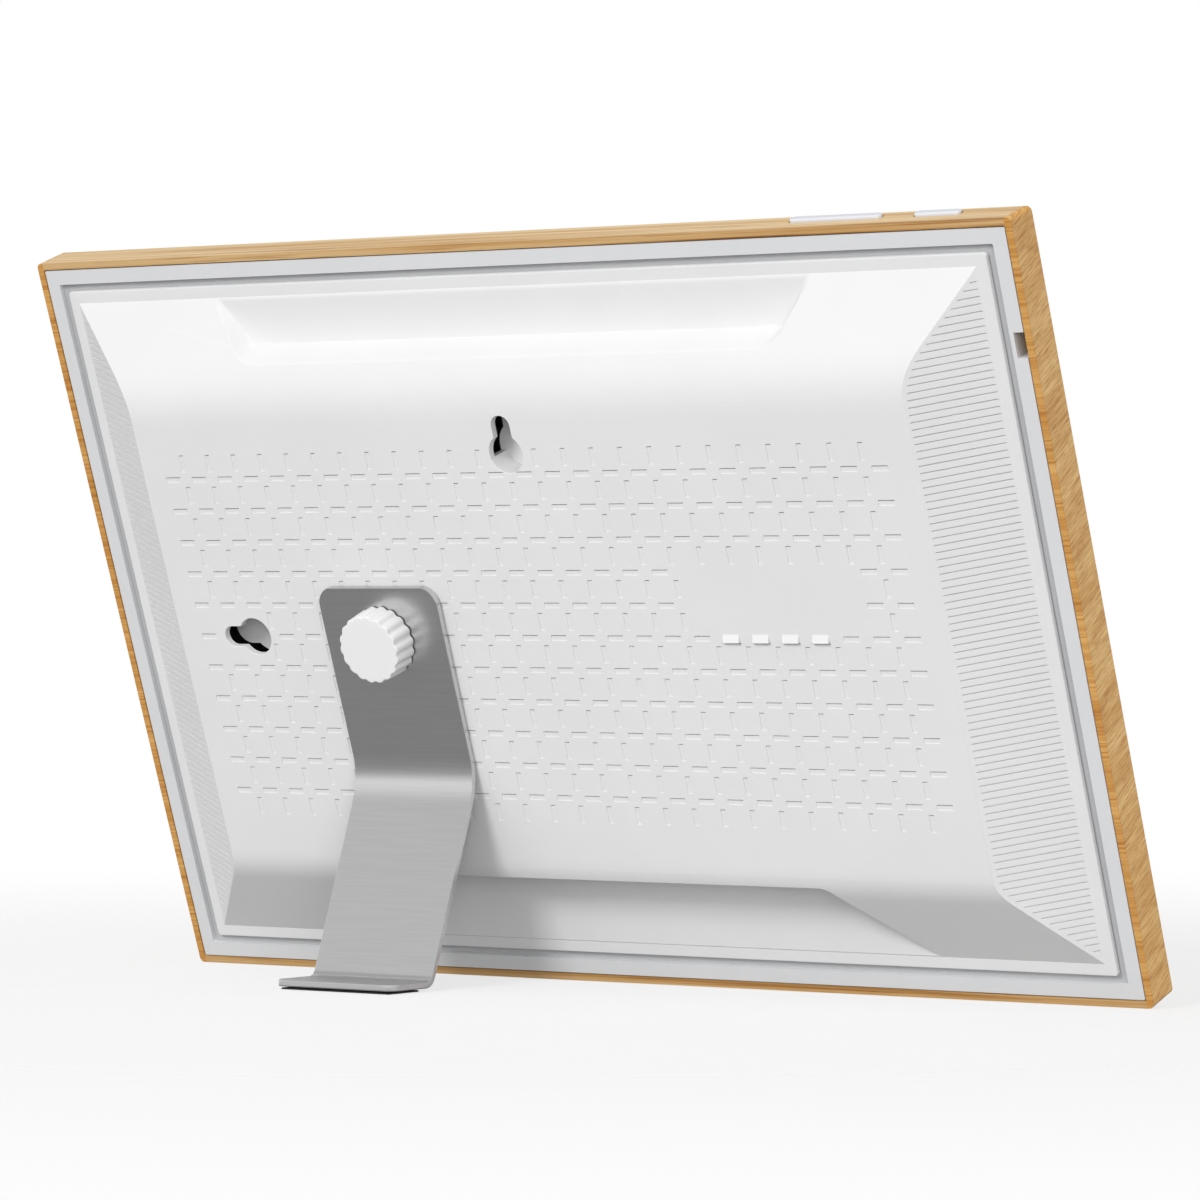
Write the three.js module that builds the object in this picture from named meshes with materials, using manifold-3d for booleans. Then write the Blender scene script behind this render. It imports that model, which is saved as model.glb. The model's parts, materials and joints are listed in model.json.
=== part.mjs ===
// A ten-inch digital photo frame: oak surround, moulded rear cover, swivelling desk stand.
// Millimetres, +Z up, display to -Y. The frame is drawn upright in a group of its own: x across,
// y to the rear and z up, from the middle of the surround's rear plane. The group then leans back
// about x and is set down on Z = 0, on the surround's rear bottom edge and the stand's foot.
import * as THREE from 'three';
import { mergeVertices } from 'three/addons/utils/BufferGeometryUtils.js';
import Module from 'manifold-3d';

const wasm = await Module();
wasm.setup();

// ---- driving dimensions ----

const LEAN = 20;
const GAP = 0.3;

const FRAME = { width: 260, height: 174.6, depth: 8.8, corner: 1.2, wall: 1.6 };
const LIP = { border: 12, thickness: 1.8, corner: 0.8 };
const GLASS = { width: 246, height: 160, corner: 2, play: 0.5 };
const PANEL = { width: 229.4, height: 149, viewWidth: 217, viewHeight: 135.6, corner: 0.5 };
const TRAY = { width: 229, height: 145, corner: 2 };
const FILM = { width: 222, top: 68, bottom: -62, corner: 3 };
const THICKNESS = { glass: 1.0, mat: 0.4, panel: 1.0, backlight: 1.2, tray: 0.5, film: 0.3 };
const RING = { flange: 3.4, depth: 4.7, ledge: 1.3, sunk: 0.1, corner: 0.4, play: 0.5 };
const NOTCH = { width: 5.5, z: 60.25, depth: 2.4 };
const COVER = { width: 245.3, height: 160.4, thickness: 1.0, corner: 0.8 };

// The cover's raised middle: a plateau with flat tapered ends and rounded long slopes.
const BUMP = {
  halfWidth: 120,
  topHalfWidth: 102.9,
  halfHeight: 77.4,
  top: 10.95,
  slope: 28.4,
  upperRadius: 25,
  lowerRadius: 15,
};
const SHELL = { base: 3.4, top: 2.0 };

// Two trapezoid hollows in the long slopes. Each floor curves from its base, past a bend point,
// up to the foot of the wall under its lip.
const SCOOP = {
  lipZ: 63.3,
  lipY: 7.7,
  footZ: 65.7,
  footY: 3.5,
  bendZ: 70,
  bendY: 0.9,
  baseY: 0.25,
  lipHalf: 71,
  baseHalf: 80.6,
  wall: 1.3,
};
const PORTS = {
  lipZ: 57.8,
  footY: 2.2,
  bendZ: 66,
  bendY: 0.5,
  baseY: 0.25,
  lipHalf: 60,
  baseHalf: 79.5,
  wall: 1.8,
};

// A keyhole: a round mouth for a screw's head and a narrow slot for its neck.
const KEYHOLE = { mouth: 4.35, slot: 2.4, reach: 6.3 };
const TOP_KEYHOLE = { x: 0, z: 42.6, towards: Math.PI / 2 };
const SIDE_KEYHOLE = { x: 81.2, z: 0, towards: 0 };

const STAND = {
  x: 42.75,
  width: 33,
  thickness: 1.5,
  aboveAxis: 12.5,
  kickZ: -33.3,
  kick: 40.5,
  kickRadius: 15,
  heelRadius: 2.0,
  toeY: 31.4,
  corner: 4.5,
  toeCorner: 3,
};
const PAD = { thickness: 0.4, inset: 1, sideInset: 1.5, length: 11 };

const KNOB = { radius: 8.0, flute: 0.45, flutes: 18, height: 6.2, screwDepth: 2.8 };
const WASHER = { radius: 5.5, thickness: 0.5, play: 0.3 };
const THREAD = { radius: 1.95, hole: 2.3, tipY: 3.2 };
const INSERT = { radius: 3, endY: 2.2, bossRadius: 6, bossY: 1.5 };

const BUTTON = { y: -5.6, width: 2.4, proud: 0.75, clear: 0.3 };
const STOP = { bottomZ: 84.6, height: 0.7, overhang: 1, halfDepth: 1, nub: 0.7, nubDrop: 0.4 };
const POWER = { x: -109.7, length: 11 };
const VOLUME = { x: -84.8, length: 22.5, press: 7.5 };
const SWITCH_BAY = { x0: -119, x1: -70, rearY: -3.8, bottomZ: 80.9 };
const BUTTON_BOARD = { x0: -118, x1: -72, halfDepth: 1.15, bottomZ: 81.2, topZ: 82.0 };
const SWITCH = { halfWidth: 1.75, halfDepth: 1, height: 0.9, plunger: 0.6, plungerTop: 1.3 };

const BOARD = { x: -45, width: 80, top: -12, bottom: -55, y: 3.0, thickness: 1.2, corner: 2 };
const CAN = { x: -62, z: -32, width: 30, height: 24, depth: 2.2, wall: 0.4, corner: 1.5 };
const SPEAKER = { x: -53, z: 0, width: 34, height: 16, y: 5.4, depth: 3.2, corner: 3 };
const EAR = { reach: 21, beyond: 3, width: 5, thickness: 1.2 };
const USB = { x: -43, width: 8.9, height: 3.2, depth: 7.4, tongue: 6.4 };
const CARD = { x: -20, width: 14, height: 1.5, depth: 14, tongue: 10 };
const PORT = { wall: 0.35, reveal: 0.5, tongue: 0.6, tongueSetback: 1.2, back: 1 };
const FLEX = { x: -34, z: -33, width: 20, thickness: 0.3, run: 12, slotWidth: 24, slotHeight: 3.4 };
const ANTENNA = { x0: 20, x1: 60, z0: 22, z1: 34, thickness: 0.3 };

// The screws that hold the main board and the speaker to bosses in the cover.
const BOARD_SCREW = { radius: 0.95, tipY: 8.1, hole: 1.25, holeEnd: 8.4, boss: 2.5 };
const SPEAKER_SCREW = { radius: 0.8, tipY: 8.6, hole: 1.1, holeEnd: 9.2, boss: 2.4 };
const HEAD = { height: 1.2, spread: 1.9, slot: 0.4, slotDepth: 0.5, slotLength: 2.4 };

// How far a cutting body runs past the surface that it cuts.
const PAST = 1;

// ---- small helpers ----

const root = new THREE.Group();
const frame = new THREE.Group();
root.add(frame);

const radians = THREE.MathUtils.degToRad;

// A closed geometry as a manifold solid.
function solid(geometry) {
  const bare = geometry.clone();
  bare.deleteAttribute('normal');
  bare.deleteAttribute('uv');
  const merged = mergeVertices(bare, 1e-4);
  return new wasm.Manifold(new wasm.Mesh({
    numProp: 3,
    vertProperties: merged.attributes.position.array,
    triVerts: new Uint32Array(merged.index.array),
  }));
}

// A manifold solid as a geometry.
function geometryOf(body) {
  const data = body.getMesh();
  const geometry = new THREE.BufferGeometry();
  geometry.setAttribute('position', new THREE.BufferAttribute(data.vertProperties, 3));
  geometry.setIndex(new THREE.BufferAttribute(data.triVerts, 1));
  geometry.computeVertexNormals();
  return geometry;
}

// Adds a named piece to the frame, from a solid.
function piece(name, body, color, roughness = 0.6, metalness = 0) {
  const material = new THREE.MeshStandardMaterial({ color, roughness, metalness });
  const mesh = new THREE.Mesh(geometryOf(body), material);
  mesh.name = name;
  frame.add(mesh);
}

function extruded(shape, depth, curveSegments) {
  return new THREE.ExtrudeGeometry(shape, { depth, bevelEnabled: false, curveSegments });
}

// An outline in (x, z), from y0 to y1.
function plateY(shape, y0, y1, curveSegments = 4) {
  return solid(extruded(shape, y1 - y0, curveSegments).rotateX(Math.PI / 2).translate(0, y1, 0));
}

// An outline in (y, z), from x0 to x1.
function barX(shape, x0, x1, curveSegments = 6) {
  const turn = new THREE.Matrix4().makeBasis(
    new THREE.Vector3(0, 1, 0),
    new THREE.Vector3(0, 0, 1),
    new THREE.Vector3(1, 0, 0),
  );
  return solid(extruded(shape, x1 - x0, curveSegments).applyMatrix4(turn).translate(x0, 0, 0));
}

// An outline in (x, y), from z0 to z1.
function blockZ(shape, z0, z1, curveSegments = 6) {
  return solid(extruded(shape, z1 - z0, curveSegments).translate(0, 0, z0));
}

function polygon(points) {
  return new THREE.Shape(points.map(([a, b]) => new THREE.Vector2(a, b)));
}

// A rectangle with round corners, centred on (cx, cy).
function roundRect(width, height, radius, cx = 0, cy = 0) {
  const right = cx + width / 2;
  const left = cx - width / 2;
  const top = cy + height / 2;
  const bottom = cy - height / 2;
  const shape = new THREE.Shape();
  shape.absarc(right - radius, top - radius, radius, 0, Math.PI / 2, false);
  shape.absarc(left + radius, top - radius, radius, Math.PI / 2, Math.PI, false);
  shape.absarc(left + radius, bottom + radius, radius, Math.PI, Math.PI * 1.5, false);
  shape.absarc(right - radius, bottom + radius, radius, Math.PI * 1.5, Math.PI * 2, false);
  return shape;
}

function box(x0, x1, y0, y1, z0, z1) {
  const geometry = new THREE.BoxGeometry(x1 - x0, y1 - y0, z1 - z0);
  return solid(geometry.translate((x0 + x1) / 2, (y0 + y1) / 2, (z0 + z1) / 2));
}

// A round rod along y, at (x, z).
function rodY(x, z, radius, y0, y1, sides = 24) {
  const geometry = new THREE.CylinderGeometry(radius, radius, y1 - y0, sides);
  return solid(geometry.translate(x, (y0 + y1) / 2, z));
}

// A round rod along z, at (x, y).
function rodZ(x, y, radius, z0, z1, sides = 16) {
  const geometry = new THREE.CylinderGeometry(radius, radius, z1 - z0, sides).rotateX(Math.PI / 2);
  return solid(geometry.translate(x, y, (z0 + z1) / 2));
}

// ---- front stack: surround, glass, mat, display ----

const pocket = {
  width: FRAME.width - 2 * FRAME.wall,
  height: FRAME.height - 2 * FRAME.wall,
};
const frontY = -FRAME.depth;
const lipY = frontY + LIP.thickness;
const glassY = lipY + GAP;
const matY = glassY + THICKNESS.glass + GAP;
const panelY = matY + THICKNESS.mat + GAP;
const backlightY = panelY + THICKNESS.panel + GAP;
const trayY = backlightY + THICKNESS.backlight + GAP;
const filmY = trayY + THICKNESS.tray + GAP;

// A round-cornered sheet at a given depth.
function sheet({ width, height, corner }, y, thickness) {
  return plateY(roundRect(width, height, corner), y, y + thickness);
}

// The pill-shaped hole that a button goes through, with its clearance.
function buttonHole(button) {
  const length = button.length + 2 * BUTTON.clear;
  const width = BUTTON.width + 2 * BUTTON.clear;
  const outline = roundRect(length, width, width / 2 - 0.01, button.x, BUTTON.y);
  return blockZ(outline, pocket.height / 2 - PAST, FRAME.height / 2 + PAST);
}

function buildSurround() {
  const outer = roundRect(FRAME.width, FRAME.height, FRAME.corner);
  const inner = roundRect(pocket.width, pocket.height, RING.corner);
  const rebate = roundRect(
    GLASS.width + 2 * GLASS.play,
    GLASS.height + 2 * GLASS.play,
    GLASS.corner,
  );
  const view = roundRect(
    FRAME.width - 2 * LIP.border,
    FRAME.height - 2 * LIP.border,
    LIP.corner,
  );
  const bay = box(SWITCH_BAY.x0, SWITCH_BAY.x1, lipY, 0, GLASS.height / 2, pocket.height / 2);
  const body = plateY(outer, frontY, 0)
    .subtract(plateY(inner, -RING.depth - GAP, PAST))
    .subtract(plateY(rebate, lipY, PAST))
    .subtract(plateY(view, frontY - PAST, lipY + PAST))
    .subtract(bay)
    .subtract(buttonHole(POWER))
    .subtract(buttonHole(VOLUME));
  piece('wood_surround', body, 0xc79a62, 0.6);
}

function buildDisplay() {
  piece('cover_glass', sheet(GLASS, glassY, THICKNESS.glass), 0x101214, 0.05);

  const opening = roundRect(PANEL.viewWidth, PANEL.viewHeight, PANEL.corner);
  const mat = sheet(GLASS, matY, THICKNESS.mat)
    .subtract(plateY(opening, matY - PAST, matY + PAST));
  piece('mat_border', mat, 0xf2f0ea, 0.8);

  piece('lcd_panel', sheet(PANEL, panelY, THICKNESS.panel), 0x0a0b0d, 0.2);
  piece('backlight_unit', sheet(PANEL, backlightY, THICKNESS.backlight), 0xb9bcc0, 0.4, 0.8);
}

// The tray behind the backlight and the film behind the tray, each with the display cable's slot.
function buildTray() {
  const slot = roundRect(FLEX.slotWidth, FLEX.slotHeight, 1, FLEX.x, FLEX.z);
  const tray = sheet(TRAY, trayY, THICKNESS.tray)
    .subtract(plateY(slot, trayY - PAST, trayY + PAST));
  piece('back_tray', tray, 0x9a9da1, 0.4, 1);

  const height = FILM.top - FILM.bottom;
  const outline = roundRect(FILM.width, height, FILM.corner, 0, (FILM.top + FILM.bottom) / 2);
  const film = plateY(outline, filmY, filmY + THICKNESS.film)
    .subtract(plateY(slot, filmY - PAST, filmY + PAST));
  piece('insulation_film', film, 0x141414, 0.7);
}

// ---- rear: ring and cover ----

// The ring that carries the cover, with a notch in its side and a bay for the button board.
function buildRing() {
  const width = pocket.width - 2 * GAP;
  const height = pocket.height - 2 * GAP;
  const outer = roundRect(width, height, RING.corner);
  const rebate = roundRect(width - 2 * RING.flange, height - 2 * RING.flange, RING.corner);
  const opening = roundRect(PANEL.width + 2 * RING.play, PANEL.height + 2 * RING.play, RING.corner);
  const notch = box(
    -width / 2 - PAST,
    -width / 2 + NOTCH.depth,
    -RING.depth - PAST,
    PAST,
    NOTCH.z - NOTCH.width / 2,
    NOTCH.z + NOTCH.width / 2,
  );
  const switchBay = box(
    SWITCH_BAY.x0,
    SWITCH_BAY.x1,
    -RING.depth - PAST,
    SWITCH_BAY.rearY,
    SWITCH_BAY.bottomZ,
    height / 2 + PAST,
  );
  const body = plateY(outer, -RING.depth, -RING.sunk)
    .subtract(plateY(rebate, -RING.ledge, PAST))
    .subtract(plateY(opening, -RING.depth - PAST, PAST))
    .subtract(notch)
    .subtract(switchBay);
  piece('rear_ring', body, 0xdcdcdc, 0.55);
}

// The bump's section in (y, z), drawn in by the shell's thickness for its inside.
function bumpSection(baseInset, topInset) {
  const half = BUMP.halfHeight - baseInset;
  const top = BUMP.top - topInset;
  const slope = radians(BUMP.slope);
  const shape = new THREE.Shape();
  // The centre of the arc that joins a long slope to the plateau.
  const side = (radius, sign) => {
    const startY = top - radius * (1 - Math.cos(slope));
    const startZ = half - startY / Math.tan(slope);
    return { y: top - radius, z: sign * (startZ - radius * Math.sin(slope)), radius };
  };
  const upper = side(BUMP.upperRadius, 1);
  const lower = side(BUMP.lowerRadius, -1);
  shape.moveTo(-PAST, half);
  shape.lineTo(0, half);
  shape.absarc(upper.y, upper.z, upper.radius, slope, 0, true);
  shape.absarc(lower.y, lower.z, lower.radius, 0, -slope, true);
  shape.lineTo(0, -half);
  shape.lineTo(-PAST, -half);
  return shape;
}

// The raised middle: its long section between its two tapered ends.
function bump(baseInset, topInset) {
  const base = BUMP.halfWidth - baseInset;
  const topHalf = BUMP.topHalfWidth - baseInset + topInset;
  const top = BUMP.top - topInset;
  const taper = polygon([
    [-base, -2 * PAST],
    [base, -2 * PAST],
    [base, 0],
    [topHalf, top],
    [-topHalf, top],
    [-base, 0],
  ]);
  return barX(bumpSection(baseInset, topInset), -base, base)
    .intersect(blockZ(taper, -BUMP.halfHeight, BUMP.halfHeight));
}

// How far each hollow's cutting body runs past the slope, and the height that it reaches.
const BEYOND = 5;
const CLEAR_Y = 15;

// A hollow's plan in (x, z), widening from near to far at the rate that its sides spread.
function hollowPlan({ lipZ, lipHalf, baseHalf }, wall, nearZ, sign) {
  const spread = (baseHalf - lipHalf) / (BUMP.halfHeight - lipZ);
  const farZ = BUMP.halfHeight + BEYOND;
  const nearHalf = lipHalf + wall + spread * Math.min(nearZ - lipZ, 0);
  const farHalf = lipHalf + wall + spread * (farZ - lipZ);
  const outline = polygon([
    [-farHalf, sign * farZ],
    [-nearHalf, sign * nearZ],
    [nearHalf, sign * nearZ],
    [farHalf, sign * farZ],
  ]);
  return plateY(outline, -BEYOND, CLEAR_Y + PAST);
}

// The upper scoop's space, or that space grown by a wall's thickness.
function scoopCut(wall) {
  const { lipZ, lipY: lipHigh, footZ, footY, bendZ, bendY, baseY } = SCOOP;
  const base = BUMP.halfHeight + wall;
  const profile = new THREE.Shape();
  profile.moveTo(CLEAR_Y, base + BEYOND);
  profile.lineTo(baseY - wall, base + BEYOND);
  profile.lineTo(baseY - wall, base);
  profile.quadraticCurveTo(bendY - wall, bendZ, footY - wall, footZ - wall / 2);
  profile.lineTo(lipHigh - wall / 2, lipZ - wall);
  profile.lineTo(CLEAR_Y, lipZ - wall - BEYOND);
  return barX(profile, -BUMP.halfWidth, BUMP.halfWidth)
    .intersect(hollowPlan(SCOOP, wall, lipZ - 2 * BEYOND, 1));
}

// The lower recess's space, or that space grown by a wall's thickness.
function portCut(wall) {
  const { lipZ, footY, bendZ, bendY, baseY } = PORTS;
  const base = BUMP.halfHeight + wall;
  const top = lipZ - wall;
  const profile = new THREE.Shape();
  profile.moveTo(CLEAR_Y, -base - BEYOND);
  profile.lineTo(CLEAR_Y, -top);
  profile.lineTo(footY - wall, -top);
  profile.quadraticCurveTo(bendY - wall, -bendZ, baseY - wall, -base);
  profile.lineTo(baseY - wall, -base - BEYOND);
  return barX(profile, -BUMP.halfWidth, BUMP.halfWidth)
    .intersect(hollowPlan(PORTS, wall, top, -1));
}

const innerTop = BUMP.top - SHELL.top;

// A keyhole's cutting body, through the cover's skin.
function keyholeCut({ x, z, towards }) {
  const dx = Math.cos(towards);
  const dz = Math.sin(towards);
  const slotX = x + dx * KEYHOLE.reach;
  const slotZ = z + dz * KEYHOLE.reach;
  const y0 = innerTop - 4 * PAST;
  const outline = polygon([
    [x - dz * KEYHOLE.slot, z + dx * KEYHOLE.slot],
    [x + dz * KEYHOLE.slot, z - dx * KEYHOLE.slot],
    [slotX + dz * KEYHOLE.slot, slotZ - dx * KEYHOLE.slot],
    [slotX - dz * KEYHOLE.slot, slotZ + dx * KEYHOLE.slot],
  ]);
  return rodY(x, z, KEYHOLE.mouth, y0, CLEAR_Y)
    .add(rodY(slotX, slotZ, KEYHOLE.slot, y0, CLEAR_Y))
    .add(plateY(outline, y0, CLEAR_Y));
}

const boardRearY = BOARD.y + BOARD.thickness;
const boardHoles = [-35, 35].flatMap((dx) => [
  { x: BOARD.x + dx, z: BOARD.top - 5 },
  { x: BOARD.x + dx, z: BOARD.bottom + 5 },
]);
const speakerHoles = [-EAR.reach, EAR.reach].map((dx) => ({ x: SPEAKER.x + dx, z: SPEAKER.z }));
const usbY = boardRearY + GAP + USB.height / 2;
const cardY = boardRearY + GAP + CARD.height / 2;

// Bosses that stand down from the cover's skin, each with its screw's blind hole.
function bosses(holes, screw, y0) {
  return holes.map(({ x, z }) => rodY(x, z, screw.boss, y0, innerTop + PAST / 2, 20));
}

function screwHoles(holes, screw) {
  return holes.map(({ x, z }) => rodY(x, z, screw.hole, 0, screw.holeEnd, 16));
}

function portHole(port, portY) {
  const outline = roundRect(
    port.width + 2 * GAP,
    port.height + 2 * GAP,
    port.height / 2,
    port.x,
    portY,
  );
  return blockZ(outline, -PORTS.lipZ - PAST, -PORTS.lipZ + PORTS.wall + PAST);
}

function buildCover() {
  const rim = roundRect(COVER.width, COVER.height, COVER.corner);
  const rimHole = roundRect(
    2 * (BUMP.halfWidth - SHELL.base),
    2 * (BUMP.halfHeight - SHELL.base),
    COVER.corner,
  );
  const skin = bump(0, 0)
    .subtract(scoopCut(0))
    .subtract(portCut(0));
  const hollow = bump(SHELL.base, SHELL.top)
    .subtract(scoopCut(SCOOP.wall))
    .subtract(portCut(PORTS.wall));
  const rimPlate = plateY(rim, -COVER.thickness, 0)
    .subtract(plateY(rimHole, -COVER.thickness - PAST, PAST));
  const shell = rimPlate
    .add(skin)
    .subtract(hollow)
    .intersect(plateY(rim, -COVER.thickness, CLEAR_Y));
  const posts = [
    rodY(STAND.x, 0, INSERT.bossRadius, INSERT.bossY, innerTop + PAST / 2, 20),
    ...bosses(boardHoles, BOARD_SCREW, boardRearY + GAP),
    ...bosses(speakerHoles, SPEAKER_SCREW, SPEAKER.y + EAR.thickness + GAP),
  ];
  const holes = [
    ...screwHoles(boardHoles, BOARD_SCREW),
    ...screwHoles(speakerHoles, SPEAKER_SCREW),
    rodY(STAND.x, 0, INSERT.radius + GAP, 0, CLEAR_Y),
    keyholeCut(TOP_KEYHOLE),
    keyholeCut(SIDE_KEYHOLE),
    portHole(USB, usbY),
    portHole(CARD, cardY),
  ];
  const body = wasm.Manifold.union([shell, ...posts]).subtract(wasm.Manifold.union(holes));
  piece('rear_cover', body, 0xe4e4e4, 0.5);
}

// ---- electronics ----

// A pan-head screw that enters from the front, its head's underside at y.
function buildScrew(name, { x, z }, y, screw) {
  const slotY = y - HEAD.height + HEAD.slotDepth;
  const half = HEAD.slotLength / 2;
  const narrow = HEAD.slot / 2;
  const body = rodY(x, z, screw.radius * HEAD.spread, y - HEAD.height, y)
    .add(rodY(x, z, screw.radius, y - PAST / 10, screw.tipY, 16))
    .subtract(box(x - half, x + half, slotY - PAST, slotY, z - narrow, z + narrow))
    .subtract(box(x - narrow, x + narrow, slotY - PAST, slotY, z - half, z + half));
  piece(name, body, 0x8f9296, 0.35, 1);
}

function buildMainBoard() {
  const middleZ = (BOARD.top + BOARD.bottom) / 2;
  const outline = roundRect(BOARD.width, BOARD.top - BOARD.bottom, BOARD.corner, BOARD.x, middleZ);
  const board = plateY(outline, BOARD.y, boardRearY)
    .subtract(wasm.Manifold.union(screwHoles(boardHoles, BOARD_SCREW)));
  piece('main_board', board, 0x1e5a3a, 0.5);

  boardHoles.forEach((hole, index) => {
    buildScrew(`board_screw_${index + 1}`, hole, BOARD.y - GAP, BOARD_SCREW);
  });
}

// The metal can over the main board's chips, open towards the board.
function buildShieldCan() {
  const y0 = boardRearY + GAP;
  const y1 = y0 + CAN.depth;
  const halfX = CAN.width / 2 - CAN.wall;
  const halfZ = CAN.height / 2 - CAN.wall;
  const can = plateY(roundRect(CAN.width, CAN.height, CAN.corner, CAN.x, CAN.z), y0, y1)
    .subtract(box(
      CAN.x - halfX,
      CAN.x + halfX,
      y0 - PAST,
      y1 - CAN.wall,
      CAN.z - halfZ,
      CAN.z + halfZ,
    ));
  piece('shield_can', can, 0xb4b6b8, 0.35, 1);
}

// A port's metal shell, open to the recess below the board.
function buildPort(name, port, portY) {
  const mouthZ = -PORTS.lipZ + PORT.reveal;
  const backZ = mouthZ + port.depth;
  const pill = (width, height) => roundRect(width, height, height / 2 - 0.01, port.x, portY);
  const body = blockZ(pill(port.width, port.height), mouthZ, backZ)
    .subtract(blockZ(
      pill(port.width - 2 * PORT.wall, port.height - 2 * PORT.wall),
      mouthZ - PAST,
      backZ - PORT.back,
    ))
    .add(box(
      port.x - port.tongue / 2,
      port.x + port.tongue / 2,
      portY - PORT.tongue / 2,
      portY + PORT.tongue / 2,
      mouthZ + PORT.tongueSetback,
      backZ - PORT.back / 2,
    ));
  piece(name, body, 0xa9abae, 0.3, 1);
}

function buildSpeaker() {
  const { x, z, width, height, y, depth, corner } = SPEAKER;
  const ears = roundRect(2 * (EAR.reach + EAR.beyond), EAR.width, EAR.width / 2 - 0.1, x, z);
  const body = plateY(roundRect(width, height, corner, x, z), y, y + depth)
    .add(plateY(ears, y, y + EAR.thickness))
    .subtract(wasm.Manifold.union(screwHoles(speakerHoles, SPEAKER_SCREW)));
  piece('speaker', body, 0x1b1b1c, 0.6);
  speakerHoles.forEach((hole, index) => {
    buildScrew(`speaker_screw_${index + 1}`, hole, y - GAP, SPEAKER_SCREW);
  });
}

function buildButtonBoard() {
  const { x0, x1, halfDepth, bottomZ, topZ } = BUTTON_BOARD;
  const board = box(x0, x1, BUTTON.y - halfDepth, BUTTON.y + halfDepth, bottomZ, topZ);
  piece('button_board', board, 0x1e5a3a, 0.5);
  const switches = [
    ['power_switch', POWER.x],
    ['volume_switch_up', VOLUME.x + VOLUME.press],
    ['volume_switch_down', VOLUME.x - VOLUME.press],
  ];
  const base = topZ + GAP;
  for (const [name, x] of switches) {
    const body = box(
      x - SWITCH.halfWidth,
      x + SWITCH.halfWidth,
      BUTTON.y - SWITCH.halfDepth,
      BUTTON.y + SWITCH.halfDepth,
      base,
      base + SWITCH.height,
    ).add(rodZ(x, BUTTON.y, SWITCH.plunger, base + SWITCH.height / 2, base + SWITCH.plungerTop));
    piece(name, body, 0xc9c9c6, 0.4, 0.6);
  }
}

// The display cable: up through the tray's slot, then down along the front of the main board.
function buildLcdFlex() {
  const y0 = trayY;
  const y1 = BOARD.y - GAP - FLEX.thickness;
  const { x, z, width, thickness, run } = FLEX;
  const profile = polygon([
    [y0, z - thickness / 2],
    [y1 - thickness, z - thickness / 2],
    [y1 - thickness, z - run],
    [y1, z - run],
    [y1, z + thickness / 2],
    [y0, z + thickness / 2],
  ]);
  piece('lcd_flex', barX(profile, x - width / 2, x + width / 2), 0xb8772e, 0.5);
}

// The flat antenna stuck under the cover's skin.
function buildAntenna() {
  const { x0, x1, z0, z1, thickness } = ANTENNA;
  const strip = box(x0, x1, innerTop - GAP - thickness, innerTop - GAP, z0, z1);
  piece('antenna_strip', strip, 0x22282d, 0.5);
}

// ---- desk stand ----

const lean = radians(LEAN);

// The ground's height z over y in the leaning frame's own coordinates, raised by a clearance.
function groundAt(y, clearance) {
  return clearance / Math.cos(lean) - FRAME.height / 2 + y * Math.tan(lean);
}

// The vector from the strip's rear face to its front face, for a direction of travel.
function through(direction, distance) {
  return new THREE.Vector2(direction.y * distance, -direction.x * distance);
}

// Where the front faces of two runs meet, given where their rear faces meet.
function frontCorner(corner, before, after, thickness) {
  const half = before.angleTo(after) / 2;
  const middle = through(before, 1).add(through(after, 1)).normalize();
  return corner.clone().addScaledVector(middle, thickness / Math.cos(half));
}

// Adds a rounded bend at a corner, between two directions of travel, to the left or the right.
function bend(outline, corner, before, after, radius, left) {
  const turn = before.angleTo(after);
  const reach = radius * Math.tan(turn / 2);
  const side = left ? 1 : -1;
  const start = corner.clone().addScaledVector(before, -reach);
  const inwards = new THREE.Vector2(-before.y, before.x).multiplyScalar(side);
  const centre = start.clone().addScaledVector(inwards, radius);
  const from = Math.atan2(start.y - centre.y, start.x - centre.x);
  outline.absarc(centre.x, centre.y, radius, from, from + side * turn, !left);
}

// The bent strip's corners and directions in (y, z), down its rear face to the toe.
function strapPath() {
  const kick = radians(STAND.kick);
  const heel = Math.PI / 2 + lean;
  const down = new THREE.Vector2(0, -1);
  const leg = new THREE.Vector2(Math.sin(kick), -Math.cos(kick));
  const foot = new THREE.Vector2(Math.sin(heel), -Math.cos(heel));
  const rearY = BUMP.top + GAP + STAND.thickness;
  const kickCorner = new THREE.Vector2(rearY, STAND.kickZ);
  // The foot's upper face lies parallel to the ground, above the pad.
  const footHeight = PAD.thickness + GAP + STAND.thickness;
  const drop = kickCorner.y - groundAt(kickCorner.x, footHeight);
  const legLength = drop / (Math.tan(lean) * leg.x - leg.y);
  const heelCorner = kickCorner.clone().addScaledVector(leg, legLength);
  // Distances along the ground, from below the frame's middle.
  const heelAlong = heelCorner.x * Math.cos(lean) + heelCorner.y * Math.sin(lean);
  const toe = heelCorner.clone().addScaledVector(foot, STAND.toeY - heelAlong);
  return { down, leg, foot, rearY, kickCorner, heelCorner, toe };
}

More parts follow.
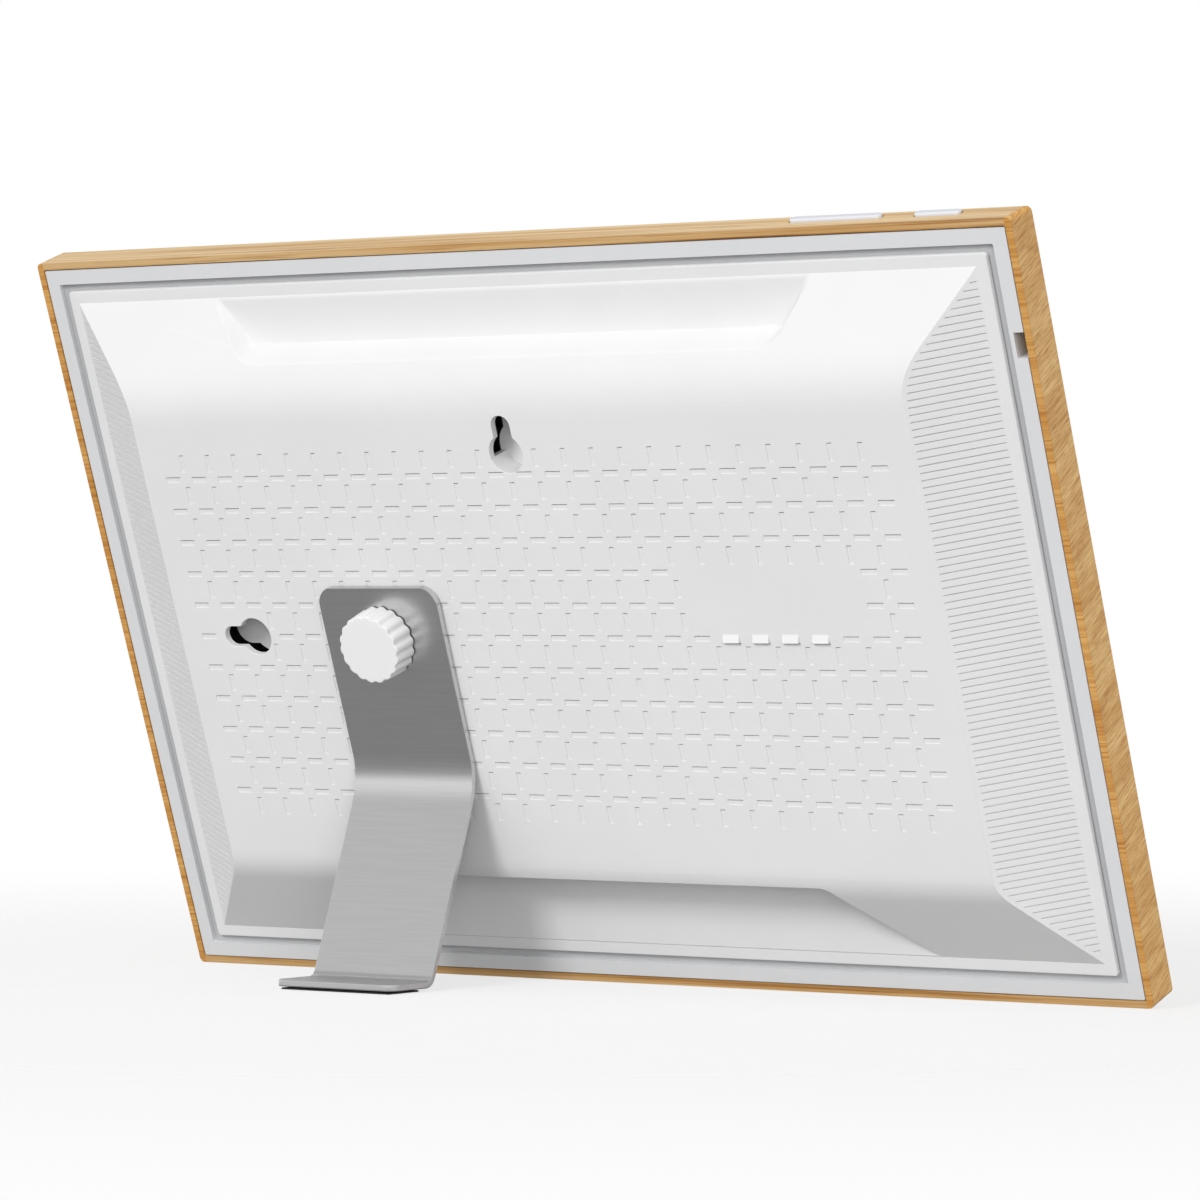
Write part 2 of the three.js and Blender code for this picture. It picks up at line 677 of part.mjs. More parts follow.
// The bent strip's section, down its rear face and back up its front face.
function strapSection() {
  const { down, leg, foot, rearY, kickCorner, heelCorner, toe } = strapPath();
  const { thickness, kickRadius, heelRadius } = STAND;
  const up = down.clone().negate();
  const legBack = leg.clone().negate();
  const footBack = foot.clone().negate();
  const underToe = toe.clone().add(through(foot, thickness));
  const frontHeel = frontCorner(heelCorner, leg, foot, thickness);
  const frontKick = frontCorner(kickCorner, down, leg, thickness);
  const outline = new THREE.Shape();
  outline.moveTo(rearY - thickness, STAND.aboveAxis);
  outline.lineTo(rearY, STAND.aboveAxis);
  bend(outline, kickCorner, down, leg, kickRadius, true);
  bend(outline, heelCorner, leg, foot, heelRadius, true);
  outline.lineTo(toe.x, toe.y);
  outline.lineTo(underToe.x, underToe.y);
  bend(outline, frontHeel, footBack, legBack, heelRadius + thickness, false);
  bend(outline, frontKick, legBack, up, kickRadius + thickness, false);
  return outline;
}

function buildStand() {
  const half = STAND.width / 2;
  const strap = barX(strapSection(), STAND.x - half, STAND.x + half, 5);
  // The top corners are rounded in the frame's plane, the toe's corners in the ground's plane.
  const length = FRAME.height;
  const topMiddle = STAND.aboveAxis - length / 2;
  const topPlan = roundRect(STAND.width, length, STAND.corner, STAND.x, topMiddle);
  const toeMiddle = STAND.toeY - length / 2;
  const toePlan = roundRect(STAND.width, length, STAND.toeCorner, STAND.x, toeMiddle);
  const body = strap
    .intersect(plateY(topPlan, -length, length))
    .intersect(blockZ(toePlan, -length, length).rotate([LEAN, 0, 0]))
    .subtract(rodY(STAND.x, 0, THREAD.hole, 0, BUMP.top + CLEAR_Y));
  piece('stand_bracket', body, 0x9b9c9e, 0.35, 1);
}

// The rubber pad under the foot, along the ground, back from the toe.
function buildPad() {
  const { foot, toe } = strapPath();
  const top = STAND.thickness + GAP;
  const bottom = top + PAD.thickness;
  const at = (back, below) => {
    const point = toe.clone().addScaledVector(foot, -back).add(through(foot, below));
    return [point.x, point.y];
  };
  const section = polygon([
    at(PAD.inset + PAD.length, top),
    at(PAD.inset + PAD.length, bottom),
    at(PAD.inset, bottom),
    at(PAD.inset, top),
  ]);
  const half = STAND.width / 2 - PAD.sideInset;
  piece('foot_pad', barX(section, STAND.x - half, STAND.x + half), 0x1c1c1c, 0.9);
}

// ---- knob ----

function flutedOutline() {
  const points = [];
  const steps = KNOB.flutes * 6;
  for (let i = 0; i < steps; i += 1) {
    const angle = (i / steps) * Math.PI * 2;
    const radius = KNOB.radius - KNOB.flute * (0.5 - 0.5 * Math.cos(angle * KNOB.flutes));
    points.push([STAND.x + radius * Math.cos(angle), radius * Math.sin(angle)]);
  }
  return polygon(points);
}

// The thumb knob, the screw moulded into it, and the washer in its underside.
function buildKnob() {
  const knobY = BUMP.top + GAP + STAND.thickness + GAP;
  const screwEnd = knobY + KNOB.screwDepth;
  const hole = (y0, y1) => rodY(STAND.x, 0, THREAD.hole, y0, y1);
  const seat = rodY(
    STAND.x,
    0,
    WASHER.radius + WASHER.play,
    knobY - PAST,
    knobY + WASHER.thickness + GAP,
  );
  const knob = plateY(flutedOutline(), knobY, knobY + KNOB.height)
    .subtract(seat)
    .subtract(hole(knobY - PAST, screwEnd + GAP));
  piece('stand_knob', knob, 0xf4f4f4, 0.45);
  piece('knob_screw', rodY(STAND.x, 0, THREAD.radius, THREAD.tipY, screwEnd), 0x9ea1a4, 0.3, 1);
  const washer = rodY(STAND.x, 0, WASHER.radius, knobY, knobY + WASHER.thickness)
    .subtract(hole(knobY - PAST, knobY + PAST));
  piece('knob_washer', washer, 0xc6c8ca, 0.3, 1);
}

// The brass thread set in the cover's boss.
function buildInsert() {
  const insert = rodY(STAND.x, 0, INSERT.radius, INSERT.endY, BUMP.top - GAP)
    .subtract(rodY(STAND.x, 0, THREAD.hole, 0, CLEAR_Y));
  piece('thread_insert', insert, 0xb08d4a, 0.35, 1);
}

// ---- buttons ----

// A pill with a stop bar inside the wall, and a nub over each switch.
function buildButton(name, button, presses) {
  const top = FRAME.height / 2 + BUTTON.proud;
  const cap = roundRect(button.length, BUTTON.width, BUTTON.width / 2 - 0.01, button.x, BUTTON.y);
  const half = button.length / 2 + STOP.overhang;
  const bar = box(
    button.x - half,
    button.x + half,
    BUTTON.y - STOP.halfDepth,
    BUTTON.y + STOP.halfDepth,
    STOP.bottomZ,
    STOP.bottomZ + STOP.height,
  );
  const nubTop = STOP.bottomZ + STOP.height / 2;
  const nubs = presses.map((dx) => (
    rodZ(button.x + dx, BUTTON.y, STOP.nub, STOP.bottomZ - STOP.nubDrop, nubTop)
  ));
  const body = wasm.Manifold.union([blockZ(cap, STOP.bottomZ, top), bar, ...nubs]);
  piece(name, body, 0xf3f3f3, 0.25);
}

// ---- assembly ----

buildSurround();
buildDisplay();
buildTray();
buildRing();
buildCover();
buildMainBoard();
buildShieldCan();
buildPort('usb_c_port', USB, usbY);
buildPort('card_slot', CARD, cardY);
buildSpeaker();
buildButtonBoard();
buildLcdFlex();
buildAntenna();
buildStand();
buildPad();
buildKnob();
buildInsert();
buildButton('power_button', POWER, [0]);
buildButton('volume_rocker', VOLUME, [-VOLUME.press, VOLUME.press]);

frame.rotation.x = -lean;
root.updateMatrixWorld(true);
const bounds = new THREE.Box3().setFromObject(root, true);
const middle = bounds.getCenter(new THREE.Vector3());
frame.position.set(-middle.x, -middle.y, -bounds.min.z);

export default root;
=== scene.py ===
import json
import math

import bmesh
import bpy
from mathutils import Matrix, Vector


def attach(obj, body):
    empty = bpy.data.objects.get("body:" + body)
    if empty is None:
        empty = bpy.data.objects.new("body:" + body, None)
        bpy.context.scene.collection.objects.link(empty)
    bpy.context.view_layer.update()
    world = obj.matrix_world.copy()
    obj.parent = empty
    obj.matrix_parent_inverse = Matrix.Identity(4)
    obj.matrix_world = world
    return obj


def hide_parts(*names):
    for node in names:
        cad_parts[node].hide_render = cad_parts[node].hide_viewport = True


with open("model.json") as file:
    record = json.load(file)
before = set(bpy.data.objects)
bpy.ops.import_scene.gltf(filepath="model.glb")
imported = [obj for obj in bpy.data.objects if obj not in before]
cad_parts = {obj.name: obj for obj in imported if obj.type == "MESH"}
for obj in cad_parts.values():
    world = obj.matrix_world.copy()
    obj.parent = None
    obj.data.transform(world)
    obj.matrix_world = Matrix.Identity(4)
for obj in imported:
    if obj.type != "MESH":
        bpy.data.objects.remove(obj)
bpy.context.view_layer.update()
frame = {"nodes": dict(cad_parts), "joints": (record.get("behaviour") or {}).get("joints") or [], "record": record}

# ---- the upright frame: x across, y to the rear, z up, in millimetres, from the middle of the
# surround's rear plane; it leans back about x ----

MM = 0.001
KNOB_X = 42.75
KNOB_Y = 11.0
knob_joint = next(joint for joint in frame["joints"] if joint["name"] == "knob_turn")
knob_axis = Vector(knob_joint["axis"])
LEAN = math.atan2(-knob_axis.z, knob_axis.y)
lean_turn = Matrix.Rotation(-LEAN, 4, "X")
origin = Vector(knob_joint["pos_m"]) - lean_turn @ Vector((KNOB_X * MM, KNOB_Y * MM, 0))
UPRIGHT = Matrix.Translation(origin) @ lean_turn

FRAME_WIDTH = 260.0
FRAME_HEIGHT = 174.6
GAP = 0.3
PAD_THICKNESS = 0.4

COVER_WIDTH = 245.3
COVER_HEIGHT = 160.4
COVER_CORNER = 0.8
RIM_THICKNESS = 1.0
BUMP_HALF_WIDTH = 120.0
BUMP_TOP_HALF_WIDTH = 102.9
BUMP_HALF_HEIGHT = 77.4
PLATEAU = 10.95
SLOPE = math.radians(28.4)
UPPER_RADIUS = 25.0
LOWER_RADIUS = 15.0
SHELL = 2.0
SHELL_BASE = 3.4

STRAP_THICKNESS = 1.5
STRAP_HALF = 16.5
STRAP_TOP = 12.5
STRAP_CORNER = 4.5
STRAP_HOLE = 2.3
KICK_Z = -33.3
KICK = math.radians(40.5)
KICK_RADIUS = 15.0
HEEL_RADIUS = 2.0
TOE_Y = 31.4
TOE_CORNER = 3.0
STRAP_REAR = PLATEAU + GAP + STRAP_THICKNESS
KNOB_BASE = STRAP_REAR + GAP
KNOB_HEIGHT = 6.2
KNOB_BORE = 3.3


# ---- mesh helpers ----

def mesh_object(name, points, faces):
    """An object from points and faces in millimetres, with its faces turned outwards."""
    mesh = bpy.data.meshes.new(name)
    mesh.from_pydata([tuple(p) for p in points], [], faces)
    form = bmesh.new()
    form.from_mesh(mesh)
    bmesh.ops.recalc_face_normals(form, faces=form.faces)
    if form.calc_volume(signed=True) < 0:
        bmesh.ops.reverse_faces(form, faces=form.faces)
    form.to_mesh(mesh)
    form.free()
    obj = bpy.data.objects.new(name, mesh)
    bpy.context.scene.collection.objects.link(obj)
    return obj


def loft(name, rings):
    """A closed body through rings of points with the same count, capped at both ends."""
    count = len(rings[0])
    points = [point for ring in rings for point in ring]
    faces = [tuple(range(count)), tuple(range(len(points) - count, len(points)))]
    for level in range(len(rings) - 1):
        base = level * count
        for i in range(count):
            j = (i + 1) % count
            faces.append((base + i, base + j, base + count + j, base + count + i))
    return mesh_object(name, points, faces)


def bar_x(name, outline, x0, x1):
    """An outline in (y, z), drawn out along x."""
    return loft(name, [[(x, y, z) for y, z in outline] for x in (x0, x1)])


def plate_y(name, outline, y0, y1):
    """An outline in (x, z), drawn out along y."""
    return loft(name, [[(x, y, z) for x, z in outline] for y in (y0, y1)])


def block_z(name, outline, z0, z1):
    """An outline in (x, y), drawn out along z."""
    return loft(name, [[(x, y, z) for x, y in outline] for z in (z0, z1)])


def arc(cx, cy, radius, start, end, steps):
    """Points on an arc, its ends included, with angles in radians."""
    angles = [start + (end - start) * i / steps for i in range(steps + 1)]
    return [(cx + radius * math.cos(a), cy + radius * math.sin(a)) for a in angles]


def circle(cx, cy, radius, sides=48):
    """Points round a circle, without the first one again at the end."""
    return arc(cx, cy, radius, 0, 2 * math.pi * (sides - 1) / sides, sides - 1)


def round_rect(width, height, radius, cx=0.0, cy=0.0, steps=6):
    """A rectangle's outline with round corners."""
    points = []
    corners = [(1, 1, 0.0), (-1, 1, 0.5), (-1, -1, 1.0), (1, -1, 1.5)]
    for side_x, side_y, start in corners:
        x = cx + side_x * (width / 2 - radius)
        y = cy + side_y * (height / 2 - radius)
        points += arc(x, y, radius, start * math.pi, (start + 0.5) * math.pi, steps)
    return points


def slab(name, rows, far_y):
    """A closed body from a grid of points, given in rows, to the plane y = far_y."""
    columns = len(rows[0])
    points = [point for row in rows for point in row]
    count = len(points)
    points += [(x, far_y, z) for x, _, z in points]
    faces = []
    for r in range(len(rows) - 1):
        for c in range(columns - 1):
            a = r * columns + c
            faces.append((a, a + 1, a + columns + 1, a + columns))
            faces.append(tuple(count + v for v in (a, a + columns, a + columns + 1, a + 1)))
    ring = list(range(columns))
    ring += [r * columns + columns - 1 for r in range(1, len(rows))]
    ring += [len(rows) * columns - 1 - c for c in range(1, columns)]
    ring += [r * columns for r in range(len(rows) - 2, 0, -1)]
    for i, a in enumerate(ring):
        b = ring[(i + 1) % len(ring)]
        faces.append((a, b, count + b, count + a))
    return mesh_object(name, points, faces)


def settle(obj):
    """Applies every modifier on an object."""
    graph = bpy.context.evaluated_depsgraph_get()
    mesh = bpy.data.meshes.new_from_object(
        obj.evaluated_get(graph), preserve_all_data_layers=True, depsgraph=graph
    )
    obj.modifiers.clear()
    obj.data = mesh


def combine(target, other, operation):
    """Cuts, joins or intersects one closed body with another, and removes the other."""
    modifier = target.modifiers.new("combine", "BOOLEAN")
    modifier.operation = operation
    modifier.solver = "MANIFOLD"
    modifier.object = other
    settle(target)
    bpy.data.objects.remove(other)


def cut(target, other):
    combine(target, other, "DIFFERENCE")


def join(target, other):
    combine(target, other, "UNION")


def bevel(obj, width, segments=2, angle=30):
    """Rounds the edges sharper than an angle."""
    modifier = obj.modifiers.new("bevel", "BEVEL")
    modifier.width = width
    modifier.segments = segments
    modifier.limit_method = "ANGLE"
    modifier.angle_limit = math.radians(angle)
    modifier.use_clamp_overlap = True
    settle(obj)


def shade(obj, angle=30):
    """Smooth shading, with edges sharper than an angle kept crisp."""
    form = bmesh.new()
    form.from_mesh(obj.data)
    for face in form.faces:
        face.smooth = True
    for edge in form.edges:
        edge.smooth = edge.calc_face_angle(0.0) < math.radians(angle)
    form.to_mesh(obj.data)
    form.free()
    modifier = obj.modifiers.new("weighted", "WEIGHTED_NORMAL")
    modifier.keep_sharp = True
    settle(obj)


def place(obj, body, material, replaced=(), angle=30):
    """Scales a piece to metres, leans it back with the frame, and gives it a body and a finish."""
    obj.data.transform(UPRIGHT @ Matrix.Scale(MM, 4))
    shade(obj, angle)
    obj.data.materials.clear()
    obj.data.materials.append(material)
    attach(obj, body)
    if replaced:
        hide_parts(*replaced)
    return obj


def upright_copy(node, name):
    """A CAD node's mesh, in millimetres in the upright frame, with its flat faces whole."""
    mesh = frame["nodes"][node].data.copy()
    mesh.name = name
    mesh.transform(UPRIGHT.inverted())
    mesh.transform(Matrix.Scale(1 / MM, 4))
    mesh.materials.clear()
    form = bmesh.new()
    form.from_mesh(mesh)
    bmesh.ops.remove_doubles(form, verts=form.verts, dist=0.002)
    bmesh.ops.dissolve_limit(
        form, angle_limit=math.radians(0.5), verts=form.verts, edges=form.edges
    )
    form.to_mesh(mesh)
    form.free()
    obj = bpy.data.objects.new(name, mesh)
    bpy.context.scene.collection.objects.link(obj)
    return obj


def smoothstep(t):
    t = min(max(t, 0.0), 1.0)
    return t * t * (3 - 2 * t)


def smooth_min(a, b, k):
    h = max(k - abs(a - b), 0.0) / k
    return min(a, b) - h * h * k / 4


# ---- materials ----

def new_material(name, color, roughness, metallic=0.0):
    """A Principled material, with its node tree and its shader."""
    material = bpy.data.materials.new(name)
    material.use_nodes = True
    tree = material.node_tree
    shader = tree.nodes["Principled BSDF"]
    shader.inputs["Base Color"].default_value = (*color, 1)
    shader.inputs["Roughness"].default_value = roughness
    shader.inputs["Metallic"].default_value = metallic
    return material, tree, shader


def noise(tree, scale, stretch=(1, 1, 1), detail=2.0, roughness=0.5, warp=0.0, slant=0.0):
    """A noise in the upright frame, in cycles per metre, with more cycles where stretch is high."""
    coordinates = tree.nodes.new("ShaderNodeTexCoord")
    mapping = tree.nodes.new("ShaderNodeMapping")
    mapping.vector_type = "TEXTURE"
    mapping.inputs["Rotation"].default_value = (slant - LEAN, 0, 0)
    mapping.inputs["Scale"].default_value = [1 / share for share in stretch]
    texture = tree.nodes.new("ShaderNodeTexNoise")
    texture.inputs["Scale"].default_value = scale
    texture.inputs["Detail"].default_value = detail
    texture.inputs["Roughness"].default_value = roughness
    texture.inputs["Distortion"].default_value = warp
    tree.links.new(coordinates.outputs["Object"], mapping.inputs["Vector"])
    tree.links.new(mapping.outputs["Vector"], texture.inputs["Vector"])
    return texture.outputs["Fac"]


def upright_axes(tree):
    """The three coordinates in the upright frame, in metres, as separate outputs."""
    coordinates = tree.nodes.new("ShaderNodeTexCoord")
    mapping = tree.nodes.new("ShaderNodeMapping")
    mapping.vector_type = "TEXTURE"
    mapping.inputs["Location"].default_value = origin
    mapping.inputs["Rotation"].default_value = (-LEAN, 0, 0)
    split = tree.nodes.new("ShaderNodeSeparateXYZ")
    tree.links.new(coordinates.outputs["Object"], mapping.inputs["Vector"])
    tree.links.new(mapping.outputs["Vector"], split.inputs["Vector"])
    return split.outputs


def step(tree, source, low, high):
    """0 below a range in millimetres and 1 above it."""
    node = tree.nodes.new("ShaderNodeMapRange")
    node.inputs["From Min"].default_value = low * MM
    node.inputs["From Max"].default_value = high * MM
    tree.links.new(source, node.inputs["Value"])
    return node.outputs["Result"]


def ramp(tree, source, stops):
    """A colour ramp, from (position, colour) stops."""
    node = tree.nodes.new("ShaderNodeValToRGB")
    while len(node.color_ramp.elements) < len(stops):
        node.color_ramp.elements.new(0.5)
    for element, (position, color) in zip(node.color_ramp.elements, stops):
        element.position = position
        element.color = (*color, 1)
    tree.links.new(source, node.inputs["Fac"])
    return node.outputs["Color"]


def mix_color(tree, a, b, factor, blend="MIX"):
    """Mixes two colours by a number or by a node's output."""
    node = tree.nodes.new("ShaderNodeMix")
    node.data_type = "RGBA"
    node.blend_type = blend
    tree.links.new(a, node.inputs["A"])
    tree.links.new(b, node.inputs["B"])
    if isinstance(factor, float):
        node.inputs["Factor"].default_value = factor
    else:
        tree.links.new(factor, node.inputs["Factor"])
    return node.outputs["Result"]


def spread(tree, source, low, high):
    """Maps a noise from 0.3..0.7 to a range."""
    node = tree.nodes.new("ShaderNodeMapRange")
    node.inputs["From Min"].default_value = 0.3
    node.inputs["From Max"].default_value = 0.7
    node.inputs["To Min"].default_value = low
    node.inputs["To Max"].default_value = high
    tree.links.new(source, node.inputs["Value"])
    return node.outputs["Result"]


def add_bump(tree, shader, source, distance, strength=1.0, after=None):
    """A bump of a given height in metres, on top of another bump if one is given."""
    node = tree.nodes.new("ShaderNodeBump")
    node.inputs["Distance"].default_value = distance
    node.inputs["Strength"].default_value = strength
    tree.links.new(source, node.inputs["Height"])
    if after:
        tree.links.new(after, node.inputs["Normal"])
    tree.links.new(node.outputs["Normal"], shader.inputs["Normal"])
    return node.outputs["Normal"]


def add_grain(tree, shader, grain, roughness, depth):
    """A spark-eroded grain with uneven gloss."""
    fine = noise(tree, grain, detail=3)
    gloss = spread(tree, fine, roughness - 0.05, roughness + 0.05)
    tree.links.new(gloss, shader.inputs["Roughness"])
    add_bump(tree, shader, fine, depth, 0.5)


def plastic(name, light, dark, roughness, grain, depth):
    """Moulded plastic: a faint cloudiness and a fine grain."""
    material, tree, shader = new_material(name, light, roughness)
    clouds = noise(tree, 45, detail=3)
    color = ramp(tree, clouds, [(0.35, dark), (0.65, light)])
    tree.links.new(color, shader.inputs["Base Color"])
    add_grain(tree, shader, grain, roughness, depth)
    return material


def end_mask(tree):
    """1 on the surround's two upright sides, whose grain runs across them, and 0 elsewhere."""
    size = tree.nodes.new("ShaderNodeMath")
    size.operation = "ABSOLUTE"
    tree.links.new(upright_axes(tree)["X"], size.inputs[0])
    side = FRAME_WIDTH / 2 - 1.7
    return step(tree, size.outputs["Value"], side - 0.1, side + 0.1)


def long_grain(tree):
    """The tone of the long sides: streaks that run along them."""
    streaks = noise(tree, 100, (0.05, 6.0, 6.0), detail=5, roughness=0.65, warp=0.2)
    deep = (0.36, 0.16, 0.03)
    warm = (0.65, 0.41, 0.17)
    pale = (0.79, 0.59, 0.33)
    return ramp(tree, streaks, [(0.34, deep), (0.44, warm), (0.56, pale)])


def end_grain(tree, lines):
    """The tone of the short sides: broad patches under fine lines, both slanting."""
    broad = noise(tree, 100, (0.3, 0.35, 2.0), detail=3, roughness=0.6, warp=0.6, slant=END_SLANT)
    patches = ramp(tree, broad, [(0.34, (0.68, 0.36, 0.09)), (0.62, (0.82, 0.51, 0.18))])
    dark = (0.78, 0.60, 0.38)
    light = (1.12, 1.2, 1.35)
    line_tone = ramp(tree, lines, [(0.37, dark), (0.50, (1, 1, 1)), (0.62, light)])
    return mix_color(tree, patches, line_tone, 1.0, "MULTIPLY")


END_SLANT = math.radians(-14)


def oak():
    """Oak: long streaks and pores on the long sides, and fine slanting bands on the short ones."""
    material, tree, shader = new_material("oak", (0.6, 0.4, 0.2), 0.5)
    ends = end_mask(tree)
    lines = noise(tree, 100, (0.3, 1.3, 20.0), detail=6, roughness=0.7, warp=0.5, slant=END_SLANT)
    color = mix_color(tree, long_grain(tree), end_grain(tree, lines), ends)
    pores = noise(tree, 100, (0.3, 22, 26), detail=2, roughness=0.5)
    pore_mask = ramp(tree, pores, [(0.30, (0.66, 0.52, 0.38)), (0.42, (1, 1, 1))])
    slits = noise(tree, 100, (0.3, 3.0, 26), detail=2, roughness=0.5, warp=0.3, slant=END_SLANT)
    slit_mask = ramp(tree, slits, [(0.32, (0.80, 0.66, 0.48)), (0.42, (1, 1, 1))])
    color = mix_color(tree, color, mix_color(tree, pore_mask, slit_mask, ends), 1.0, "MULTIPLY")
    # painted shade: the rear face is made darker than the top, standing in for the difference in light falling on
    # them
    at_rear = step(tree, upright_axes(tree)["Y"], -0.35, -0.15)
    rear_painted_shade = ramp(tree, at_rear, [(0.0, (1, 1, 1)), (1.0, (0.84, 0.74, 0.62))])
    color = mix_color(tree, color, rear_painted_shade, 1.0, "MULTIPLY")
    tree.links.new(color, shader.inputs["Base Color"])
    tree.links.new(spread(tree, lines, 0.52, 0.40), shader.inputs["Roughness"])
    first = add_bump(tree, shader, pores, 0.00004, 0.4)
    add_bump(tree, shader, lines, 0.00002, 0.3, after=first)
    return material


def ring_plastic():
    """The ring's white plastic, with painted shade: a darker grey on its sunk ledge round the cover."""
    material, tree, shader = new_material("ring_white", (0.71, 0.715, 0.725), 0.5)
    above_ledge = step(tree, upright_axes(tree)["Y"], -1.25, -1.1)
    clouds = noise(tree, 45, detail=3)
    # painted shade: the ledge below the ring's face gets a darker grey that stands in for the groove's shade
    ledge_painted_shade = ramp(tree, clouds, [(0.35, (0.50, 0.505, 0.515)), (0.65, (0.52, 0.525, 0.535))])
    white = ramp(tree, clouds, [(0.35, (0.71, 0.715, 0.725)), (0.65, (0.725, 0.73, 0.74))])
    color = mix_color(tree, ledge_painted_shade, white, above_ledge)
    tree.links.new(color, shader.inputs["Base Color"])
    add_grain(tree, shader, 2600, 0.5, 0.00002)
    return material


def metal(name, color, roughness, stretch=(1, 1, 1), grain=3000, depth=0.000004, swing=0.05):
    """Metal with a fine grain in its tone and its gloss."""
    material, tree, shader = new_material(name, color, roughness, 1.0)
    fine = noise(tree, grain, stretch, detail=3)
    gloss = spread(tree, fine, roughness - swing, roughness + swing)
    tree.links.new(gloss, shader.inputs["Roughness"])
    darker = tuple(c * 0.96 for c in color)
    tree.links.new(ramp(tree, fine, [(0.4, darker), (0.6, color)]), shader.inputs["Base Color"])
    add_bump(tree, shader, fine, depth, 0.5)
    return material


def pane_glass():
    """Clear front glass: see-through, with a sharp reflection that grows at low angles."""
    material = bpy.data.materials.new("pane_glass")
    material.use_nodes = True
    tree = material.node_tree
    tree.nodes.remove(tree.nodes["Principled BSDF"])
    clear = tree.nodes.new("ShaderNodeBsdfTransparent")
    gloss = tree.nodes.new("ShaderNodeBsdfGlossy")
    smears = noise(tree, 30, detail=4)
    tree.links.new(spread(tree, smears, 0.01, 0.05), gloss.inputs["Roughness"])
    tint = ramp(tree, smears, [(0.3, (0.96, 0.98, 0.97)), (0.7, (0.98, 0.99, 0.985))])
    tree.links.new(tint, clear.inputs["Color"])
    fresnel = tree.nodes.new("ShaderNodeFresnel")
    fresnel.inputs["IOR"].default_value = 1.5
    mix = tree.nodes.new("ShaderNodeMixShader")
    tree.links.new(fresnel.outputs["Fac"], mix.inputs["Fac"])
    tree.links.new(clear.outputs["BSDF"], mix.inputs[1])
    tree.links.new(gloss.outputs["BSDF"], mix.inputs[2])
    tree.links.new(mix.outputs["Shader"], tree.nodes["Material Output"].inputs["Surface"])
    return material


WHITE = plastic("cover_white", (0.80, 0.80, 0.80), (0.785, 0.785, 0.787), 0.5, 2600, 0.00002)
RING_WHITE = ring_plastic()
KNOB_WHITE = plastic("knob_white", (0.88, 0.88, 0.88), (0.865, 0.865, 0.865), 0.45, 3200, 0.00001)
CAP_WHITE = plastic("cap_white", (0.70, 0.72, 0.77), (0.68, 0.70, 0.75), 0.15, 1200, 0.000003)
OAK = oak()
ALUMINIUM = metal(
    "stand_aluminium", (0.67, 0.67, 0.675), 0.29,
    stretch=(0.03, 1, 1), grain=1800, depth=0.00000006, swing=0.01,
)
STEEL = metal("zinc_steel", (0.62, 0.63, 0.64), 0.34)
BRASS = metal("turned_brass", (0.72, 0.52, 0.24), 0.3)
RUBBER = plastic("pad_rubber", (0.030, 0.030, 0.031), (0.022, 0.022, 0.023), 0.8, 2000, 0.00003)
BLACK = plastic("black_plastic", (0.035, 0.035, 0.036), (0.026, 0.026, 0.027), 0.5, 2600, 0.00002)
FILM = plastic("black_film", (0.03, 0.03, 0.032), (0.022, 0.022, 0.024), 0.35, 900, 0.00001)
MAT = plastic("mat_card", (0.84, 0.82, 0.77), (0.80, 0.78, 0.73), 0.8, 1500, 0.00004)
SCREEN = plastic("screen_off", (0.012, 0.013, 0.016), (0.009, 0.010, 0.013), 0.12, 400, 0.000001)
GUIDE = plastic("light_guide", (0.82, 0.83, 0.84), (0.79, 0.80, 0.81), 0.25, 500, 0.000002)
BOARD = plastic("solder_mask", (0.02, 0.10, 0.055), (0.015, 0.075, 0.04), 0.35, 700, 0.00002)
FLEX = plastic("amber_flex", (0.45, 0.20, 0.04), (0.38, 0.16, 0.03), 0.35, 900, 0.00001)
GLASS = pane_glass()

FINISHES = {
    "steel": STEEL,
    "brass": BRASS,
    "black_plastic": BLACK,
    "black_film": FILM,
    "mat_card": MAT,
    "display_glass": SCREEN,
    "backlight": GUIDE,
    "circuit_board": BOARD,
    "flex_film": FLEX,
    "clear_glass": GLASS,
    "rubber": RUBBER,
    "white_plastic": WHITE,
    "white_cap": CAP_WHITE,
    "knob_plastic": KNOB_WHITE,
    "stand_aluminium": ALUMINIUM,
    "oak": OAK,
}


def finish_kept_nodes():
    """Gives every CAD node that stays the procedural finish of its slot."""
    slots = {part["node"]: part["material_slot"] for part in frame["record"]["subparts"]}
    for node, obj in frame["nodes"].items():
        obj.data.materials.clear()
        obj.data.materials.append(FINISHES[slots[node]])


# ---- rear cover ----

def blend_curve(radius, side):
    """Points in (y, z) from a long slope to the plateau, turning gently at both ends."""
    steps = 32
    length = radius * SLOPE * 1.33
    spread_z = 0.0
    drop = 0.0
    points = [(0.0, 0.0)]
    for i in range(steps):
        angle = SLOPE * smoothstep((i + 0.5) / steps)
        spread_z += math.cos(angle) * length / steps
        drop += math.sin(angle) * length / steps
        points.append((drop, spread_z))
    corner_z = BUMP_HALF_HEIGHT - PLATEAU / math.tan(SLOPE)
    start = corner_z + drop / math.tan(SLOPE) - spread_z
    return [(PLATEAU - down, side * (start + out)) for down, out in reversed(points)]


CURVES = {1: blend_curve(UPPER_RADIUS, 1), -1: blend_curve(LOWER_RADIUS, -1)}


def slope_height(z):
    """The bump's height over z, away from its ends."""
    curve = CURVES[1 if z > 0 else -1]
    if abs(z) >= abs(curve[0][1]):
        return max((BUMP_HALF_HEIGHT - abs(z)) * math.tan(SLOPE), 0.0)
    for (y0, z0), (y1, z1) in zip(curve, curve[1:]):
        if abs(z) >= abs(z1):
            share = (abs(z) - abs(z1)) / (abs(z0) - abs(z1))
            return y1 + (y0 - y1) * share
    return PLATEAU


def end_height(x):
    """The bump's height over x, where an end wall limits it."""
    rise = PLATEAU / (BUMP_HALF_WIDTH - BUMP_TOP_HALF_WIDTH)
    return min(max((BUMP_HALF_WIDTH - abs(x)) * rise, 0.0), PLATEAU)


def bump_height(x, z):
    return min(slope_height(z), end_height(x))


